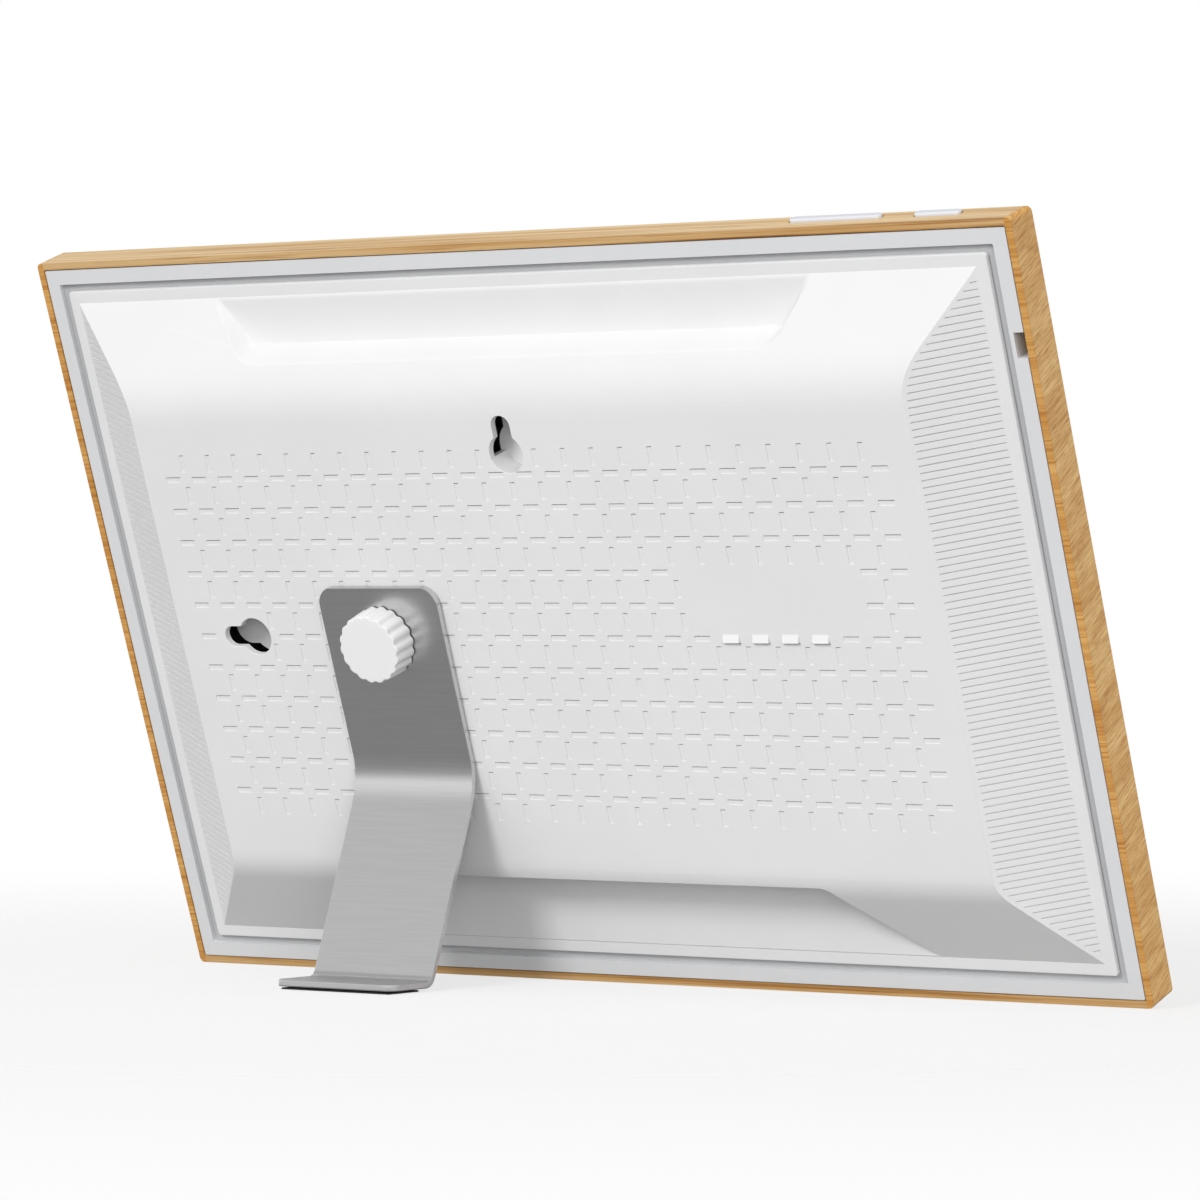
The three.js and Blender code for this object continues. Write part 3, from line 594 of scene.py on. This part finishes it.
def bump_body():
    """The raised middle: a rounded long section between two tapered ends."""
    section = [(-1.0, BUMP_HALF_HEIGHT), (0.0, BUMP_HALF_HEIGHT)]
    section += blend_curve(UPPER_RADIUS, 1)
    section += reversed(blend_curve(LOWER_RADIUS, -1))
    section += [(0.0, -BUMP_HALF_HEIGHT), (-1.0, -BUMP_HALF_HEIGHT)]
    body = bar_x("rear_cover", section, -BUMP_HALF_WIDTH - 1, BUMP_HALF_WIDTH + 1)

    edge_radius = 1.2
    wall = math.atan2(PLATEAU, BUMP_HALF_WIDTH - BUMP_TOP_HALF_WIDTH)
    reach = edge_radius * math.tan(wall / 2)
    edge_x = BUMP_TOP_HALF_WIDTH - reach
    edge = arc(edge_x, PLATEAU - edge_radius, edge_radius, math.pi / 2 - wall, math.pi / 2, 5)
    right = [(BUMP_HALF_WIDTH, -2.0), (BUMP_HALF_WIDTH, 0.0)] + edge
    taper = right + [(-x, y) for x, y in reversed(right)]
    combine(body, block_z("taper", taper, -90, 90), "INTERSECT")
    return body


def rim_body():
    """The flat rim round the bump, with a soft outer edge."""
    edge = 0.35
    levels = [(-RIM_THICKNESS, 0.0), (-edge, 0.0), (-edge * 0.3, edge * 0.3), (0.0, edge)]
    rings = []
    for y, inset in levels:
        outline = round_rect(COVER_WIDTH - 2 * inset, COVER_HEIGHT - 2 * inset, COVER_CORNER)
        rings.append([(x, y, z) for x, z in outline])
    return loft("rim", rings)


def round_lip(share, rounded=0.22):
    """A straight ramp from 0 to 1 that starts in a soft curve and ends in a crisp corner."""
    share = min(share, 1.0)
    if share < rounded:
        return share * share / (2 * rounded) / (1 - rounded / 2)
    return (share - rounded / 2) / (1 - rounded / 2)


class Recess:
    """A trapezoid hollow in a long slope: its lip, its sides and its floor."""

    def __init__(self, side, lip_z, lip_half, base_half, floor, lip_run, cheek_run, corner):
        self.side = side
        self.lip_z = lip_z
        self.lip_half = lip_half
        self.spread = (base_half - lip_half) / (BUMP_HALF_HEIGHT - lip_z)
        self.floor = floor
        self.lip_run = lip_run
        self.cheek_run = cheek_run
        self.corner = corner

    def half_width(self, z):
        return self.lip_half + self.spread * (z - self.lip_z)

    def depth_share(self, x, z):
        """0 at the hollow's edge, 1 on its floor, and below 0 outside it."""
        to_lip = z - self.lip_z
        to_cheek = (self.half_width(z) - abs(x)) / math.hypot(1, self.spread)
        inside = smooth_min(to_lip, to_cheek, self.corner)
        cheek_side = smoothstep((to_lip - to_cheek) / self.corner + 0.5)
        run = self.lip_run + (self.cheek_run - self.lip_run) * cheek_side
        return inside / run

    def height(self, x, z):
        """The hollow's surface over x and |z|, a little proud of the bump outside the hollow."""
        outer = bump_height(x, self.side * z)
        share = self.depth_share(x, z)
        if share <= 0:
            return outer - share * 0.15
        floor = min(self.floor(z), outer)
        return outer - (outer - floor) * round_lip(share)

    def cutter(self):
        """The closed space above the hollow's surface, on a grid that is fine at its edges."""
        steps = [-1.5, -0.5, 0.0] + [0.2 * (i + 1) for i in range(22)] + [5.0, 6.0, 7.5]
        far = BUMP_HALF_HEIGHT + 1.0
        levels = [self.lip_z + s for s in steps]
        last = levels[-1]
        levels += [last + (far - last) * (i + 1) / 8 for i in range(8)]
        rows = []
        for z in levels:
            half = self.half_width(z)
            flank = [half - s * math.hypot(1, self.spread) for s in steps]
            middle = [flank[-1] * (1 - (i + 1) / 6) for i in range(5)]
            right = flank + middle
            xs = right + [0.0] + [-x for x in reversed(right)]
            rows.append([(x, self.height(x, z), self.side * z) for x in xs])
        return slab("hollow", rows, CUT_Y)


CUT_Y = 16.0
SCOOP_FOOT_Z = 65.7
SCOOP_FOOT_Y = 1.0
SCOOP_EDGE_Y = 0.1


def scoop_floor(z):
    """The scoop's floor over |z|: nearly flat at its edge, then rising to the foot of its lip."""
    share = (z - BUMP_HALF_HEIGHT) / (SCOOP_FOOT_Z - BUMP_HALF_HEIGHT)
    share = min(max(share, 0.0), 1.0)
    beyond = max(z - BUMP_HALF_HEIGHT, 0)
    return SCOOP_EDGE_Y + (SCOOP_FOOT_Y - SCOOP_EDGE_Y) * share ** 2.8 + beyond * 0.3


SCOOP = Recess(
    side=1, lip_z=63.3, lip_half=71.0, base_half=80.6, floor=scoop_floor,
    lip_run=3.2, cheek_run=1.4, corner=3.5,
)
PORT_LIP = 57.8
PORT_LIP_HALF = 60.0
PORT_BASE_HALF = 79.5
PORT_FOOT_Y = 2.2
PORT_EDGE_Y = 0.15
PORT_CORNER = 5.0


def port_floor(z):
    """The port recess's floor over z: nearly flat, then curving up to its inner wall."""
    depth = (BUMP_HALF_HEIGHT - abs(z)) / (BUMP_HALF_HEIGHT - PORT_LIP)
    return PORT_EDGE_Y + (PORT_FOOT_Y - PORT_EDGE_Y) * max(depth, 0.0) ** 2.5


def port_recess_body():
    """The port recess: a trapezoid with two round corners, above a curved floor."""
    flare = math.atan2(PORT_BASE_HALF - PORT_LIP_HALF, BUMP_HALF_HEIGHT - PORT_LIP)
    turn = math.pi / 2 - flare
    cx = PORT_LIP_HALF - PORT_CORNER * math.tan(turn / 2)
    cz = -PORT_LIP - PORT_CORNER
    far = BUMP_HALF_HEIGHT + 2
    base = PORT_LIP_HALF + (far - PORT_LIP) * math.tan(flare)
    right = arc(cx, cz, PORT_CORNER, math.pi / 2, math.pi / 2 - turn, 8)
    right.append((base, -far))
    outline = right + [(-x, z) for x, z in reversed(right)]
    body = plate_y("port_recess", outline, -1, CUT_Y)
    run = BUMP_HALF_HEIGHT - PORT_LIP
    levels = [far] + [BUMP_HALF_HEIGHT - run * i / 16 for i in range(17)]
    profile = [(port_floor(z), -z) for z in levels]
    inner = -PORT_LIP + 5
    profile += [(PORT_FOOT_Y, inner), (CUT_Y + 4, inner), (CUT_Y + 4, -far)]
    combine(body, bar_x("floor_profile", profile, -100, 100), "INTERSECT")
    return body


def shell_height(x, z):
    """The cover's outer surface, hollows included."""
    height = bump_height(x, z)
    if z > SCOOP.lip_z - 1 and SCOOP.depth_share(x, z) > 0:
        height = SCOOP.height(x, z)
    flare = (PORT_BASE_HALF - PORT_LIP_HALF) / (BUMP_HALF_HEIGHT - PORT_LIP)
    if z < -PORT_LIP and abs(x) < PORT_LIP_HALF + flare * (-z - PORT_LIP):
        height = min(port_floor(z), height)
    return height


def cavity_body():
    """The space inside the cover, a wall's thickness below its outer surface."""
    half_x = BUMP_HALF_WIDTH - SHELL_BASE
    half_z = BUMP_HALF_HEIGHT - SHELL_BASE
    columns = 94
    rows = 62
    lowest = -RIM_THICKNESS + 0.2
    grid = []
    for r in range(rows + 1):
        z = -half_z + 2 * half_z * r / rows
        row = []
        for c in range(columns + 1):
            x = -half_x + 2 * half_x * c / columns
            around = [shell_height(x + dx, z + dz) for dx in (-2, 0, 2) for dz in (-2, 0, 2)]
            row.append((x, max(min(around) - SHELL * 0.8, lowest), z))
        grid.append(row)
    return slab("cavity", grid, -4.0)


KEYHOLE_MOUTH = 4.35
KEYHOLE_SLOT = 2.4
KEYHOLE_REACH = 6.3
TOP_KEYHOLE = (0.0, 42.6, math.pi / 2)
SIDE_KEYHOLE = (81.2, 0.0, 0.0)
KEYHOLES = [TOP_KEYHOLE, SIDE_KEYHOLE]
CUP_WALL = 1.5
CUP_FLOOR = 4.6
CUP_BASE = 1.2


def keyhole_outline(x, z, towards, grow):
    """A round mouth that runs into a narrow round-ended slot."""
    mouth = KEYHOLE_MOUTH + grow
    slot = KEYHOLE_SLOT + grow
    opening = math.asin(slot / mouth)
    points = arc(0, 0, mouth, opening, 2 * math.pi - opening, 40)
    points += arc(KEYHOLE_REACH, 0, slot, -math.pi / 2, math.pi / 2, 16)
    c, s = math.cos(towards), math.sin(towards)
    return [(x + a * c - b * s, z + a * s + b * c) for a, b in points]


def keyhole_cutter(x, z, towards):
    """A keyhole with a small round at its edge."""
    levels = [(CUP_FLOOR + 0.5, 0.0), (PLATEAU - 0.25, 0.0), (PLATEAU - 0.08, 0.06)]
    levels += [(PLATEAU + 0.05, 0.2), (PLATEAU + 2, 0.2)]
    rings = []
    for y, grow in levels:
        rings.append([(a, y, b) for a, b in keyhole_outline(x, z, towards, grow)])
    return loft("keyhole", rings)


def keyhole_cup(x, z, towards, wall_end):
    """The cup behind a keyhole: a floor under all of it, and a wall round its mouth's far side."""
    top = PLATEAU - SHELL
    cup = plate_y("cup", keyhole_outline(x, z, towards, CUP_WALL), CUP_FLOOR - CUP_BASE, top + 0.5)
    cut(cup, plate_y("inside", keyhole_outline(x, z, towards, 0.0), CUP_FLOOR, top + 1))
    c, s = math.cos(towards), math.sin(towards)
    reach = [(wall_end, -9), (16, -9), (16, 9), (wall_end, 9)]
    opening = [(x + a * c - b * s, z + a * s + b * c) for a, b in reach]
    cut(cup, plate_y("opening", opening, CUP_FLOOR, top + 1))
    return cup


DASH_PITCH = 7.58
DASH_LENGTH = 4.1
DASH_WIDTH = 1.3
DASH_DEPTH = 0.18
DASH_SLIT = 0.24
DASH_SLIT_DEPTH = 0.8
DASH_CLEAR = 1.6
DASH_COLUMNS = 12
DASH_ROWS = 5
BLANK = (-84.0, -40.0, 0.5, 16.5)
HOOD_COLUMNS = (6, 7, 8, 9)


def in_blank(x, z):
    """Whether a dash would fall in the patch that has none."""
    x0, x1, z0, z1 = BLANK
    return x0 < x < x1 and z0 < z < z1


def near_keyhole(x, z):
    """Whether a dash would run into a keyhole."""
    for kx, kz, towards in KEYHOLES:
        for i in range(4):
            along = i / 3 * KEYHOLE_REACH
            dx = x - kx - math.cos(towards) * along
            dz = z - kz - math.sin(towards) * along
            if math.hypot(dx, dz) < KEYHOLE_MOUTH + DASH_CLEAR:
                return True
    return False


def dash_places():
    """The centre of every sunk dash, and whether it stands upright."""
    places = []
    for column in range(-DASH_COLUMNS, DASH_COLUMNS + 1):
        for row in range(-DASH_ROWS - 1, DASH_ROWS + 1):
            places.append((column * DASH_PITCH, (row + 0.5) * DASH_PITCH, True))
    for column in range(-DASH_COLUMNS - 1, DASH_COLUMNS + 1):
        for row in range(-DASH_ROWS, DASH_ROWS + 1):
            if row == 0 and -column - 1 in HOOD_COLUMNS:
                continue
            places.append(((column + 0.5) * DASH_PITCH, row * DASH_PITCH, False))
    return [p for p in places if not in_blank(p[0], p[1]) and not near_keyhole(p[0], p[1])]


def bars(name, places):
    """One body of separate bars along x, each with a place, a half length and a profile."""
    points = []
    faces = []
    for x, z, half, profile in places:
        start = len(points)
        count = len(profile)
        for dx in (-half, half):
            points += [(x + dx, PLATEAU + rise, z + up) for rise, up in profile]
        faces.append(tuple(start + i for i in range(count)))
        faces.append(tuple(start + count + i for i in reversed(range(count))))
        for i in range(count):
            j = (i + 1) % count
            faces.append((start + i, start + count + i, start + count + j, start + j))
    return mesh_object(name, points, faces)


def dash_profile(high):
    """A shallow floor, with a narrow slit under its upper edge."""
    top = high / 2
    slit = top - DASH_SLIT
    floor = [(1.0, -top), (1.0, top), (-DASH_SLIT_DEPTH, top), (-DASH_SLIT_DEPTH, slit)]
    return floor + [(-DASH_DEPTH, slit), (-DASH_DEPTH, -top)]


def dash_cutters():
    """One body of small bars, one for each dash."""
    places = []
    for x, z, upright in dash_places():
        wide, high = (DASH_WIDTH, DASH_LENGTH) if upright else (DASH_LENGTH, DASH_WIDTH)
        places.append((x, z, wide / 2, dash_profile(high)))
    return bars("dashes", places)


RIB_PITCH = 1.579
RIB_WIDTH = 0.34
RIB_DEPTH = 0.55
RIB_MARGIN = 1.0
RIB_FOOT = 0.25
RIB_FADE = 0.5
RIB_CUT = 0.5


def rib_cutters(side):
    """V grooves down one tapered end, each ending a little short of the edges."""
    run = BUMP_HALF_WIDTH - BUMP_TOP_HALF_WIDTH
    length = math.hypot(run, PLATEAU)
    along = Vector((-run / length, PLATEAU / length))
    out = Vector((along.y, -along.x))
    points = []
    faces = []
    rows = int(BUMP_HALF_HEIGHT / RIB_PITCH)
    for row in range(-rows, rows + 1):
        z = row * RIB_PITCH
        top_y = min(slope_height(z), PLATEAU)
        end = top_y / PLATEAU * length - RIB_MARGIN
        if end - RIB_FOOT < 2 * RIB_FADE:
            continue
        first = len(points)
        stations = [(RIB_FOOT, 0.0), (RIB_FOOT + RIB_FADE, 1.0)]
        stations += [(end - RIB_FADE, 1.0), (end, 0.0)]
        for distance, share in stations:
            bed = Vector((BUMP_HALF_WIDTH, 0.0)) + along * distance
            deep = bed - out * (RIB_DEPTH * share)
            high = bed + out * RIB_CUT
            wide = RIB_WIDTH / 2 * (RIB_CUT + RIB_DEPTH) / RIB_DEPTH
            points.append((side * deep.x, deep.y, z))
            points.append((side * high.x, high.y, z + wide))
            points.append((side * high.x, high.y, z - wide))
        faces.append((first, first + 1, first + 2))
        last = first + 9
        faces.append((last, last + 2, last + 1))
        for station in range(3):
            a = first + 3 * station
            for i in range(3):
                j = (i + 1) % 3
                faces.append((a + i, a + 3 + i, a + 3 + j, a + j))
    return mesh_object("ribs", points, faces)


HOOD_TOP = 1.0
HOOD_FOOT = -0.8
HOOD_SLOT = 0.35


def at_hoods(name, profile):
    """One body of bars, one in the place of each dash that is a hood instead."""
    half = DASH_LENGTH / 2
    centres = [-(column + 0.5) * DASH_PITCH for column in HOOD_COLUMNS]
    return bars(name, [(x, 0.0, half, profile) for x in centres])


def hoods():
    """Four small hoods, which rise towards their open undersides."""
    top = [(-1.0, HOOD_TOP), (0.0, HOOD_TOP)]
    nose = [(0.75, HOOD_FOOT + 0.25), (0.78, HOOD_FOOT + 0.12), (0.7, HOOD_FOOT)]
    return at_hoods("hoods", top + nose + [(-1.0, HOOD_FOOT)])


def hood_slots():
    """The dark slot under each hood."""
    low = HOOD_FOOT - HOOD_SLOT
    return at_hoods("hood_slots", [(-0.8, low), (-0.8, HOOD_FOOT), (0.3, HOOD_FOOT), (0.3, low)])


def port_cutter(name, x, y, width, height, corner):
    """A round-ended opening for a port, in the lower recess's inner wall."""
    outline = round_rect(width, height, corner, x, y)
    return block_z(name, outline, -PORT_LIP - 1, -PORT_LIP + 3.5)


def build_cover():
    """The bump on its rim, hollowed out, with every opening and groove cut into it."""
    body = bump_body()
    join(body, rim_body())
    cut(body, cavity_body())
    cut(body, SCOOP.cutter())
    cut(body, port_recess_body())
    cut(body, port_cutter("usb_hole", x=-43, y=6.1, width=9.5, height=3.8, corner=1.85))
    cut(body, port_cutter("card_hole", x=-20, y=5.25, width=14.6, height=2.1, corner=0.7))
    cut(body, plate_y("bore", circle(KNOB_X, 0, KNOB_BORE), 4, PLATEAU + 3))
    join(body, keyhole_cup(*TOP_KEYHOLE, -1.0))
    join(body, keyhole_cup(*SIDE_KEYHOLE, -3.5))
    for keyhole in KEYHOLES:
        cut(body, keyhole_cutter(*keyhole))
    join(body, hoods())
    cut(body, hood_slots())
    cut(body, dash_cutters())
    cut(body, rib_cutters(1))
    cut(body, rib_cutters(-1))
    place(body, "frame", WHITE, ["rear_cover"], angle=24)


# ---- surround, ring and front ----

def build_surround():
    body = upright_copy("wood_surround", "oak_surround")
    bevel(body, 0.4, 3, 40)
    place(body, "frame", OAK, ["wood_surround"], angle=35)


def build_ring():
    body = upright_copy("rear_ring", "carrier_ring")
    bevel(body, 0.18, 2, 40)
    place(body, "frame", RING_WHITE, ["rear_ring"], angle=35)


def build_front():
    glass = upright_copy("cover_glass", "front_glass")
    bevel(glass, 0.2, 2, 40)
    place(glass, "frame", GLASS, ["cover_glass"])


# ---- stand ----

def heading(angle):
    """The direction (y, z) at an angle from straight down towards the rear."""
    return Vector((math.sin(angle), -math.cos(angle)))


def height_of(point):
    """The height of a point (y, z) of the upright frame once the frame leans back."""
    return point.y * math.cos(LEAN) - point.x * math.sin(LEAN)


def strap_path():
    """Stations down the strip's rear face in (y, z), each with its angle from straight down."""
    heel = math.radians(90) + LEAN
    top = Vector((STRAP_REAR, STRAP_TOP))
    corner = Vector((STRAP_REAR, KICK_Z))
    ground = -FRAME_HEIGHT / 2 * math.cos(LEAN)
    foot_top = PAD_THICKNESS + GAP + STRAP_THICKNESS + ground
    leg = heading(KICK)
    leg_drop = height_of(corner) - height_of(corner + leg)
    heel_corner = corner + leg * ((height_of(corner) - foot_top) / leg_drop)
    along = heel_corner.x * math.cos(LEAN) + heel_corner.y * math.sin(LEAN)
    toe = heel_corner + heading(heel) * (TOE_Y - along)
    bends = [(corner, 0.0, KICK, KICK_RADIUS), (heel_corner, KICK, heel, HEEL_RADIUS)]
    stations = []
    here = top
    for bend_corner, before, after, radius in bends:
        turn = after - before
        reach = radius * math.tan(turn / 2)
        start = bend_corner - heading(before) * reach
        stations += straight(here, start, before)
        centre = start + Vector((math.cos(before), math.sin(before))) * radius
        steps = 20
        for i in range(1, steps):
            angle = before + turn * i / steps
            outward = Vector((-math.cos(angle), -math.sin(angle)))
            stations.append((centre + outward * radius, angle))
        here = bend_corner + heading(after) * reach
    stations += straight(here, toe, heel)
    return stations


def straight(start, end, angle):
    """Stations along a straight run, close together near both of its ends."""
    length = (end - start).length
    shares = [0.0, 0.05, 0.12, 0.25, 0.45, 0.7, 1.0, 1.4, 1.9, 2.5, 3.2, 3.9, 4.5]
    near = [s for s in shares if s < length / 2]
    distances = near + [length - s for s in reversed(near)]
    return [(start + (end - start) * (d / length), angle) for d in distances]


def strap_half_width(distance, length):
    """Half the strip's width, less at its two rounded ends."""
    half = STRAP_HALF
    for from_end, radius in ((distance, STRAP_CORNER), (length - distance, TOE_CORNER)):
        if from_end < radius:
            rounded = math.sqrt(radius ** 2 - (radius - from_end) ** 2)
            half = min(half, STRAP_HALF - radius + rounded)
    return half


def build_bracket():
    """The bent strip, as a swept section with rounded edges."""
    stations = strap_path()
    distances = [0.0]
    for (a, _), (b, _) in zip(stations, stations[1:]):
        distances.append(distances[-1] + (b - a).length)
    length = distances[-1]
    edge = 0.3
    rings = []
    for (point, angle), distance in zip(stations, distances):
        from_end = min(distance, length - distance)
        pinch = edge - math.sqrt(max(edge ** 2 - (edge - min(from_end, edge)) ** 2, 0.0))
        half = strap_half_width(distance, length)
        inward = Vector((-math.cos(angle), -math.sin(angle)))
        section = round_rect(2 * half, STRAP_THICKNESS - 2 * pinch * 0.9, edge * 0.8, steps=4)
        ring = []
        for across, through in section:
            spot = point + inward * (STRAP_THICKNESS / 2 - through)
            ring.append((KNOB_X + across, spot.x, spot.y))
        rings.append(ring)
    body = loft("stand_strip", rings)
    cut(body, plate_y("hole", circle(KNOB_X, 0, STRAP_HOLE), 5, 20))
    place(body, "stand", ALUMINIUM, ["stand_bracket"], angle=40)


def build_pad():
    body = upright_copy("foot_pad", "foot_rubber")
    bevel(body, 0.12, 2, 40)
    place(body, "stand", RUBBER, ["foot_pad"])


# ---- knob ----

KNOB_FLUTES = 18
KNOB_EDGE = 0.28
FLUTE_DEPTH = 0.5
WASHER_SEAT = 5.8
SCREW_SEAT = 2.3


def knob_levels():
    """The knob's height, radius and share of the flutes' depth, from its base to its face."""
    top = KNOB_BASE + KNOB_HEIGHT
    levels = [(KNOB_BASE, 8.1, 0.9), (KNOB_BASE + 0.15, 8.2, 1.0)]
    levels += [(KNOB_BASE + 3, 8.1, 1.0), (top - 1.2, 7.98, 1.0)]
    for i in range(6):
        angle = math.radians(18 * i)
        rise = KNOB_EDGE * math.sin(angle)
        inset = KNOB_EDGE * (1 - math.cos(angle))
        levels.append((top - KNOB_EDGE + rise, 7.95 - inset, 1 - i / 12))
    return levels + [(top, 7.0, 0.2)]


def build_knob():
    """A fluted thumb knob with a soft rim and a flat face."""
    steps = KNOB_FLUTES * 14
    rings = []
    for y, radius, share in knob_levels():
        ring = []
        for i in range(steps):
            angle = 2 * math.pi * i / steps
            wave = 0.5 - 0.5 * math.cos(angle * KNOB_FLUTES)
            r = radius - FLUTE_DEPTH * share * wave ** 1.5
            ring.append((KNOB_X + r * math.cos(angle), y, r * math.sin(angle)))
        rings.append(ring)
    body = loft("thumb_knob", rings)
    cut(body, plate_y("washer_seat", circle(KNOB_X, 0, WASHER_SEAT, 64), 5, KNOB_BASE + 0.8))
    cut(body, plate_y("screw_seat", circle(KNOB_X, 0, SCREW_SEAT), 5, KNOB_BASE + 3.1))
    place(body, "knob", KNOB_WHITE, ["stand_knob"], angle=38)


# ---- buttons ----

BUTTON_Y = -5.6
BUTTON_WIDTH = 2.4
BUTTON_PROUD = 0.75
BUTTON_EDGE = 0.45
BUTTON_FOOT = 84.7


def build_button(name, node, body_name, x, length):
    """A pill with a domed edge over the CAD button's stop bar and nubs."""
    base = FRAME_HEIGHT / 2 + BUTTON_PROUD - BUTTON_EDGE
    levels = [(BUTTON_FOOT, 0.0), (base, 0.0)]
    for i in range(1, 7):
        angle = math.radians(15 * i)
        inset = BUTTON_EDGE - BUTTON_EDGE * math.cos(angle)
        levels.append((base + BUTTON_EDGE * math.sin(angle), inset))
    rings = []
    for z, inset in levels:
        width = BUTTON_WIDTH - 2 * inset
        outline = round_rect(length - 2 * inset, width, width / 2 - 0.01, x, BUTTON_Y, steps=10)
        rings.append([(a, b, z) for a, b in outline])
    body = loft(name, rings)
    stop = upright_copy(node, "stop")
    keep = plate_y("keep", round_rect(60, 2, 0.1, x, 84.5), -12, 0)
    combine(stop, keep, "INTERSECT")
    join(body, stop)
    place(body, body_name, CAP_WHITE, [node], angle=35)


# ---- stage ----

FLOOR_RADIUS = 1.6
CAMERA_AZIMUTH = math.radians(215)
CAMERA_PLACE = (-0.68526, 0.96782, 0.0046)
LENS = 160.9


def build_floor():
    """A pale, partly clear floor that fades out into the backdrop."""
    sides = 64
    points = [(0, 0, 0)] + [(x, y, 0) for x, y in circle(0, 0, FLOOR_RADIUS, sides)]
    faces = [(0, i, i % sides + 1) for i in range(1, sides + 1)]
    floor = mesh_object("floor", points, faces)
    material, tree, shader = new_material("floor_pale", (0.9, 0.9, 0.9), 0.8)
    shader.inputs["Specular IOR Level"].default_value = 0.1
    mottle = noise(tree, 12, detail=3)
    pale = ramp(tree, mottle, [(0.4, (0.84, 0.84, 0.84)), (0.6, (0.86, 0.86, 0.86))])
    tree.links.new(pale, shader.inputs["Base Color"])
    coordinates = tree.nodes.new("ShaderNodeTexCoord")
    distance = tree.nodes.new("ShaderNodeVectorMath")
    distance.operation = "LENGTH"
    fade = tree.nodes.new("ShaderNodeMapRange")
    fade.interpolation_type = "SMOOTHSTEP"
    fade.inputs["From Min"].default_value = 0.15
    fade.inputs["From Max"].default_value = 0.6
    fade.inputs["To Min"].default_value = 0.3
    fade.inputs["To Max"].default_value = 0.0
    tree.links.new(coordinates.outputs["Object"], distance.inputs[0])
    tree.links.new(distance.outputs["Value"], fade.inputs["Value"])
    tree.links.new(fade.outputs["Result"], shader.inputs["Alpha"])
    floor.data.materials.append(material)


def build_backdrop():
    """A white backdrop, which lights the object softly and more from above than from below."""
    world = bpy.data.worlds.new("studio")
    bpy.context.scene.world = world
    world.use_nodes = True
    tree = world.node_tree
    seen = tree.nodes["Background"]
    seen.inputs["Color"].default_value = (1, 1, 1, 1)
    coordinates = tree.nodes.new("ShaderNodeTexCoord")
    split = tree.nodes.new("ShaderNodeSeparateXYZ")
    tree.links.new(coordinates.outputs["Generated"], split.inputs["Vector"])
    height = tree.nodes.new("ShaderNodeMapRange")
    height.inputs["From Min"].default_value = -1
    height.inputs["From Max"].default_value = 1
    tree.links.new(split.outputs["Z"], height.inputs["Value"])
    tones = [(0.25, 0.08), (0.42, 0.18), (0.485, 0.7), (0.52, 1.0), (0.57, 0.82), (0.72, 0.58)]
    tones += [(0.84, 0.42), (1.0, 0.42)]
    stops = [(position, (tone, tone, tone)) for position, tone in tones]
    glow = ramp(tree, height.outputs["Result"], stops)
    light = tree.nodes.new("ShaderNodeBackground")
    light.inputs["Strength"].default_value = 1.25
    tree.links.new(glow, light.inputs["Color"])
    rays = tree.nodes.new("ShaderNodeLightPath")
    mix = tree.nodes.new("ShaderNodeMixShader")
    tree.links.new(rays.outputs["Is Camera Ray"], mix.inputs["Fac"])
    tree.links.new(light.outputs["Background"], mix.inputs[1])
    tree.links.new(seen.outputs["Background"], mix.inputs[2])
    tree.links.new(mix.outputs["Shader"], tree.nodes["World Output"].inputs["Surface"])


def add_light(name, place_at, size, power, target=(0, 0, 0.08)):
    """A soft square lamp, aimed at a point, that leaves no glint of its own."""
    data = bpy.data.lights.new(name, "AREA")
    data.size = size
    data.energy = power
    lamp = bpy.data.objects.new(name, data)
    lamp.location = place_at
    lamp.rotation_euler = (Vector(target) - Vector(place_at)).to_track_quat("-Z", "Y").to_euler()
    lamp.visible_glossy = False
    bpy.context.scene.collection.objects.link(lamp)


def build_stage():
    build_floor()
    build_backdrop()
    add_light("key_softbox", (0.1, 2.0, 1.1), size=0.6, power=22)
    add_light("side_softbox", (-1.5, 1.7, 0.3), size=1.0, power=12)
    bpy.context.scene.view_settings.view_transform = "Standard"


def build_camera():
    """A long lens, level, behind the object and to its left as it faces."""
    data = bpy.data.cameras.new("camera")
    data.lens = LENS
    data.sensor_width = 36
    camera = bpy.data.objects.new("camera", data)
    camera.location = origin + Vector(CAMERA_PLACE)
    look = Vector((-math.sin(CAMERA_AZIMUTH), math.cos(CAMERA_AZIMUTH), 0))
    camera.rotation_euler = look.to_track_quat("-Z", "Y").to_euler()
    bpy.context.scene.collection.objects.link(camera)
    bpy.context.scene.camera = camera


build_camera()
finish_kept_nodes()
build_surround()
build_ring()
build_front()
build_cover()
build_bracket()
build_pad()
build_knob()
build_button("power_pill", "power_button", "power_button", -109.7, 11.0)
build_button("volume_pill", "volume_rocker", "volume_rocker", -84.8, 22.5)
build_stage()
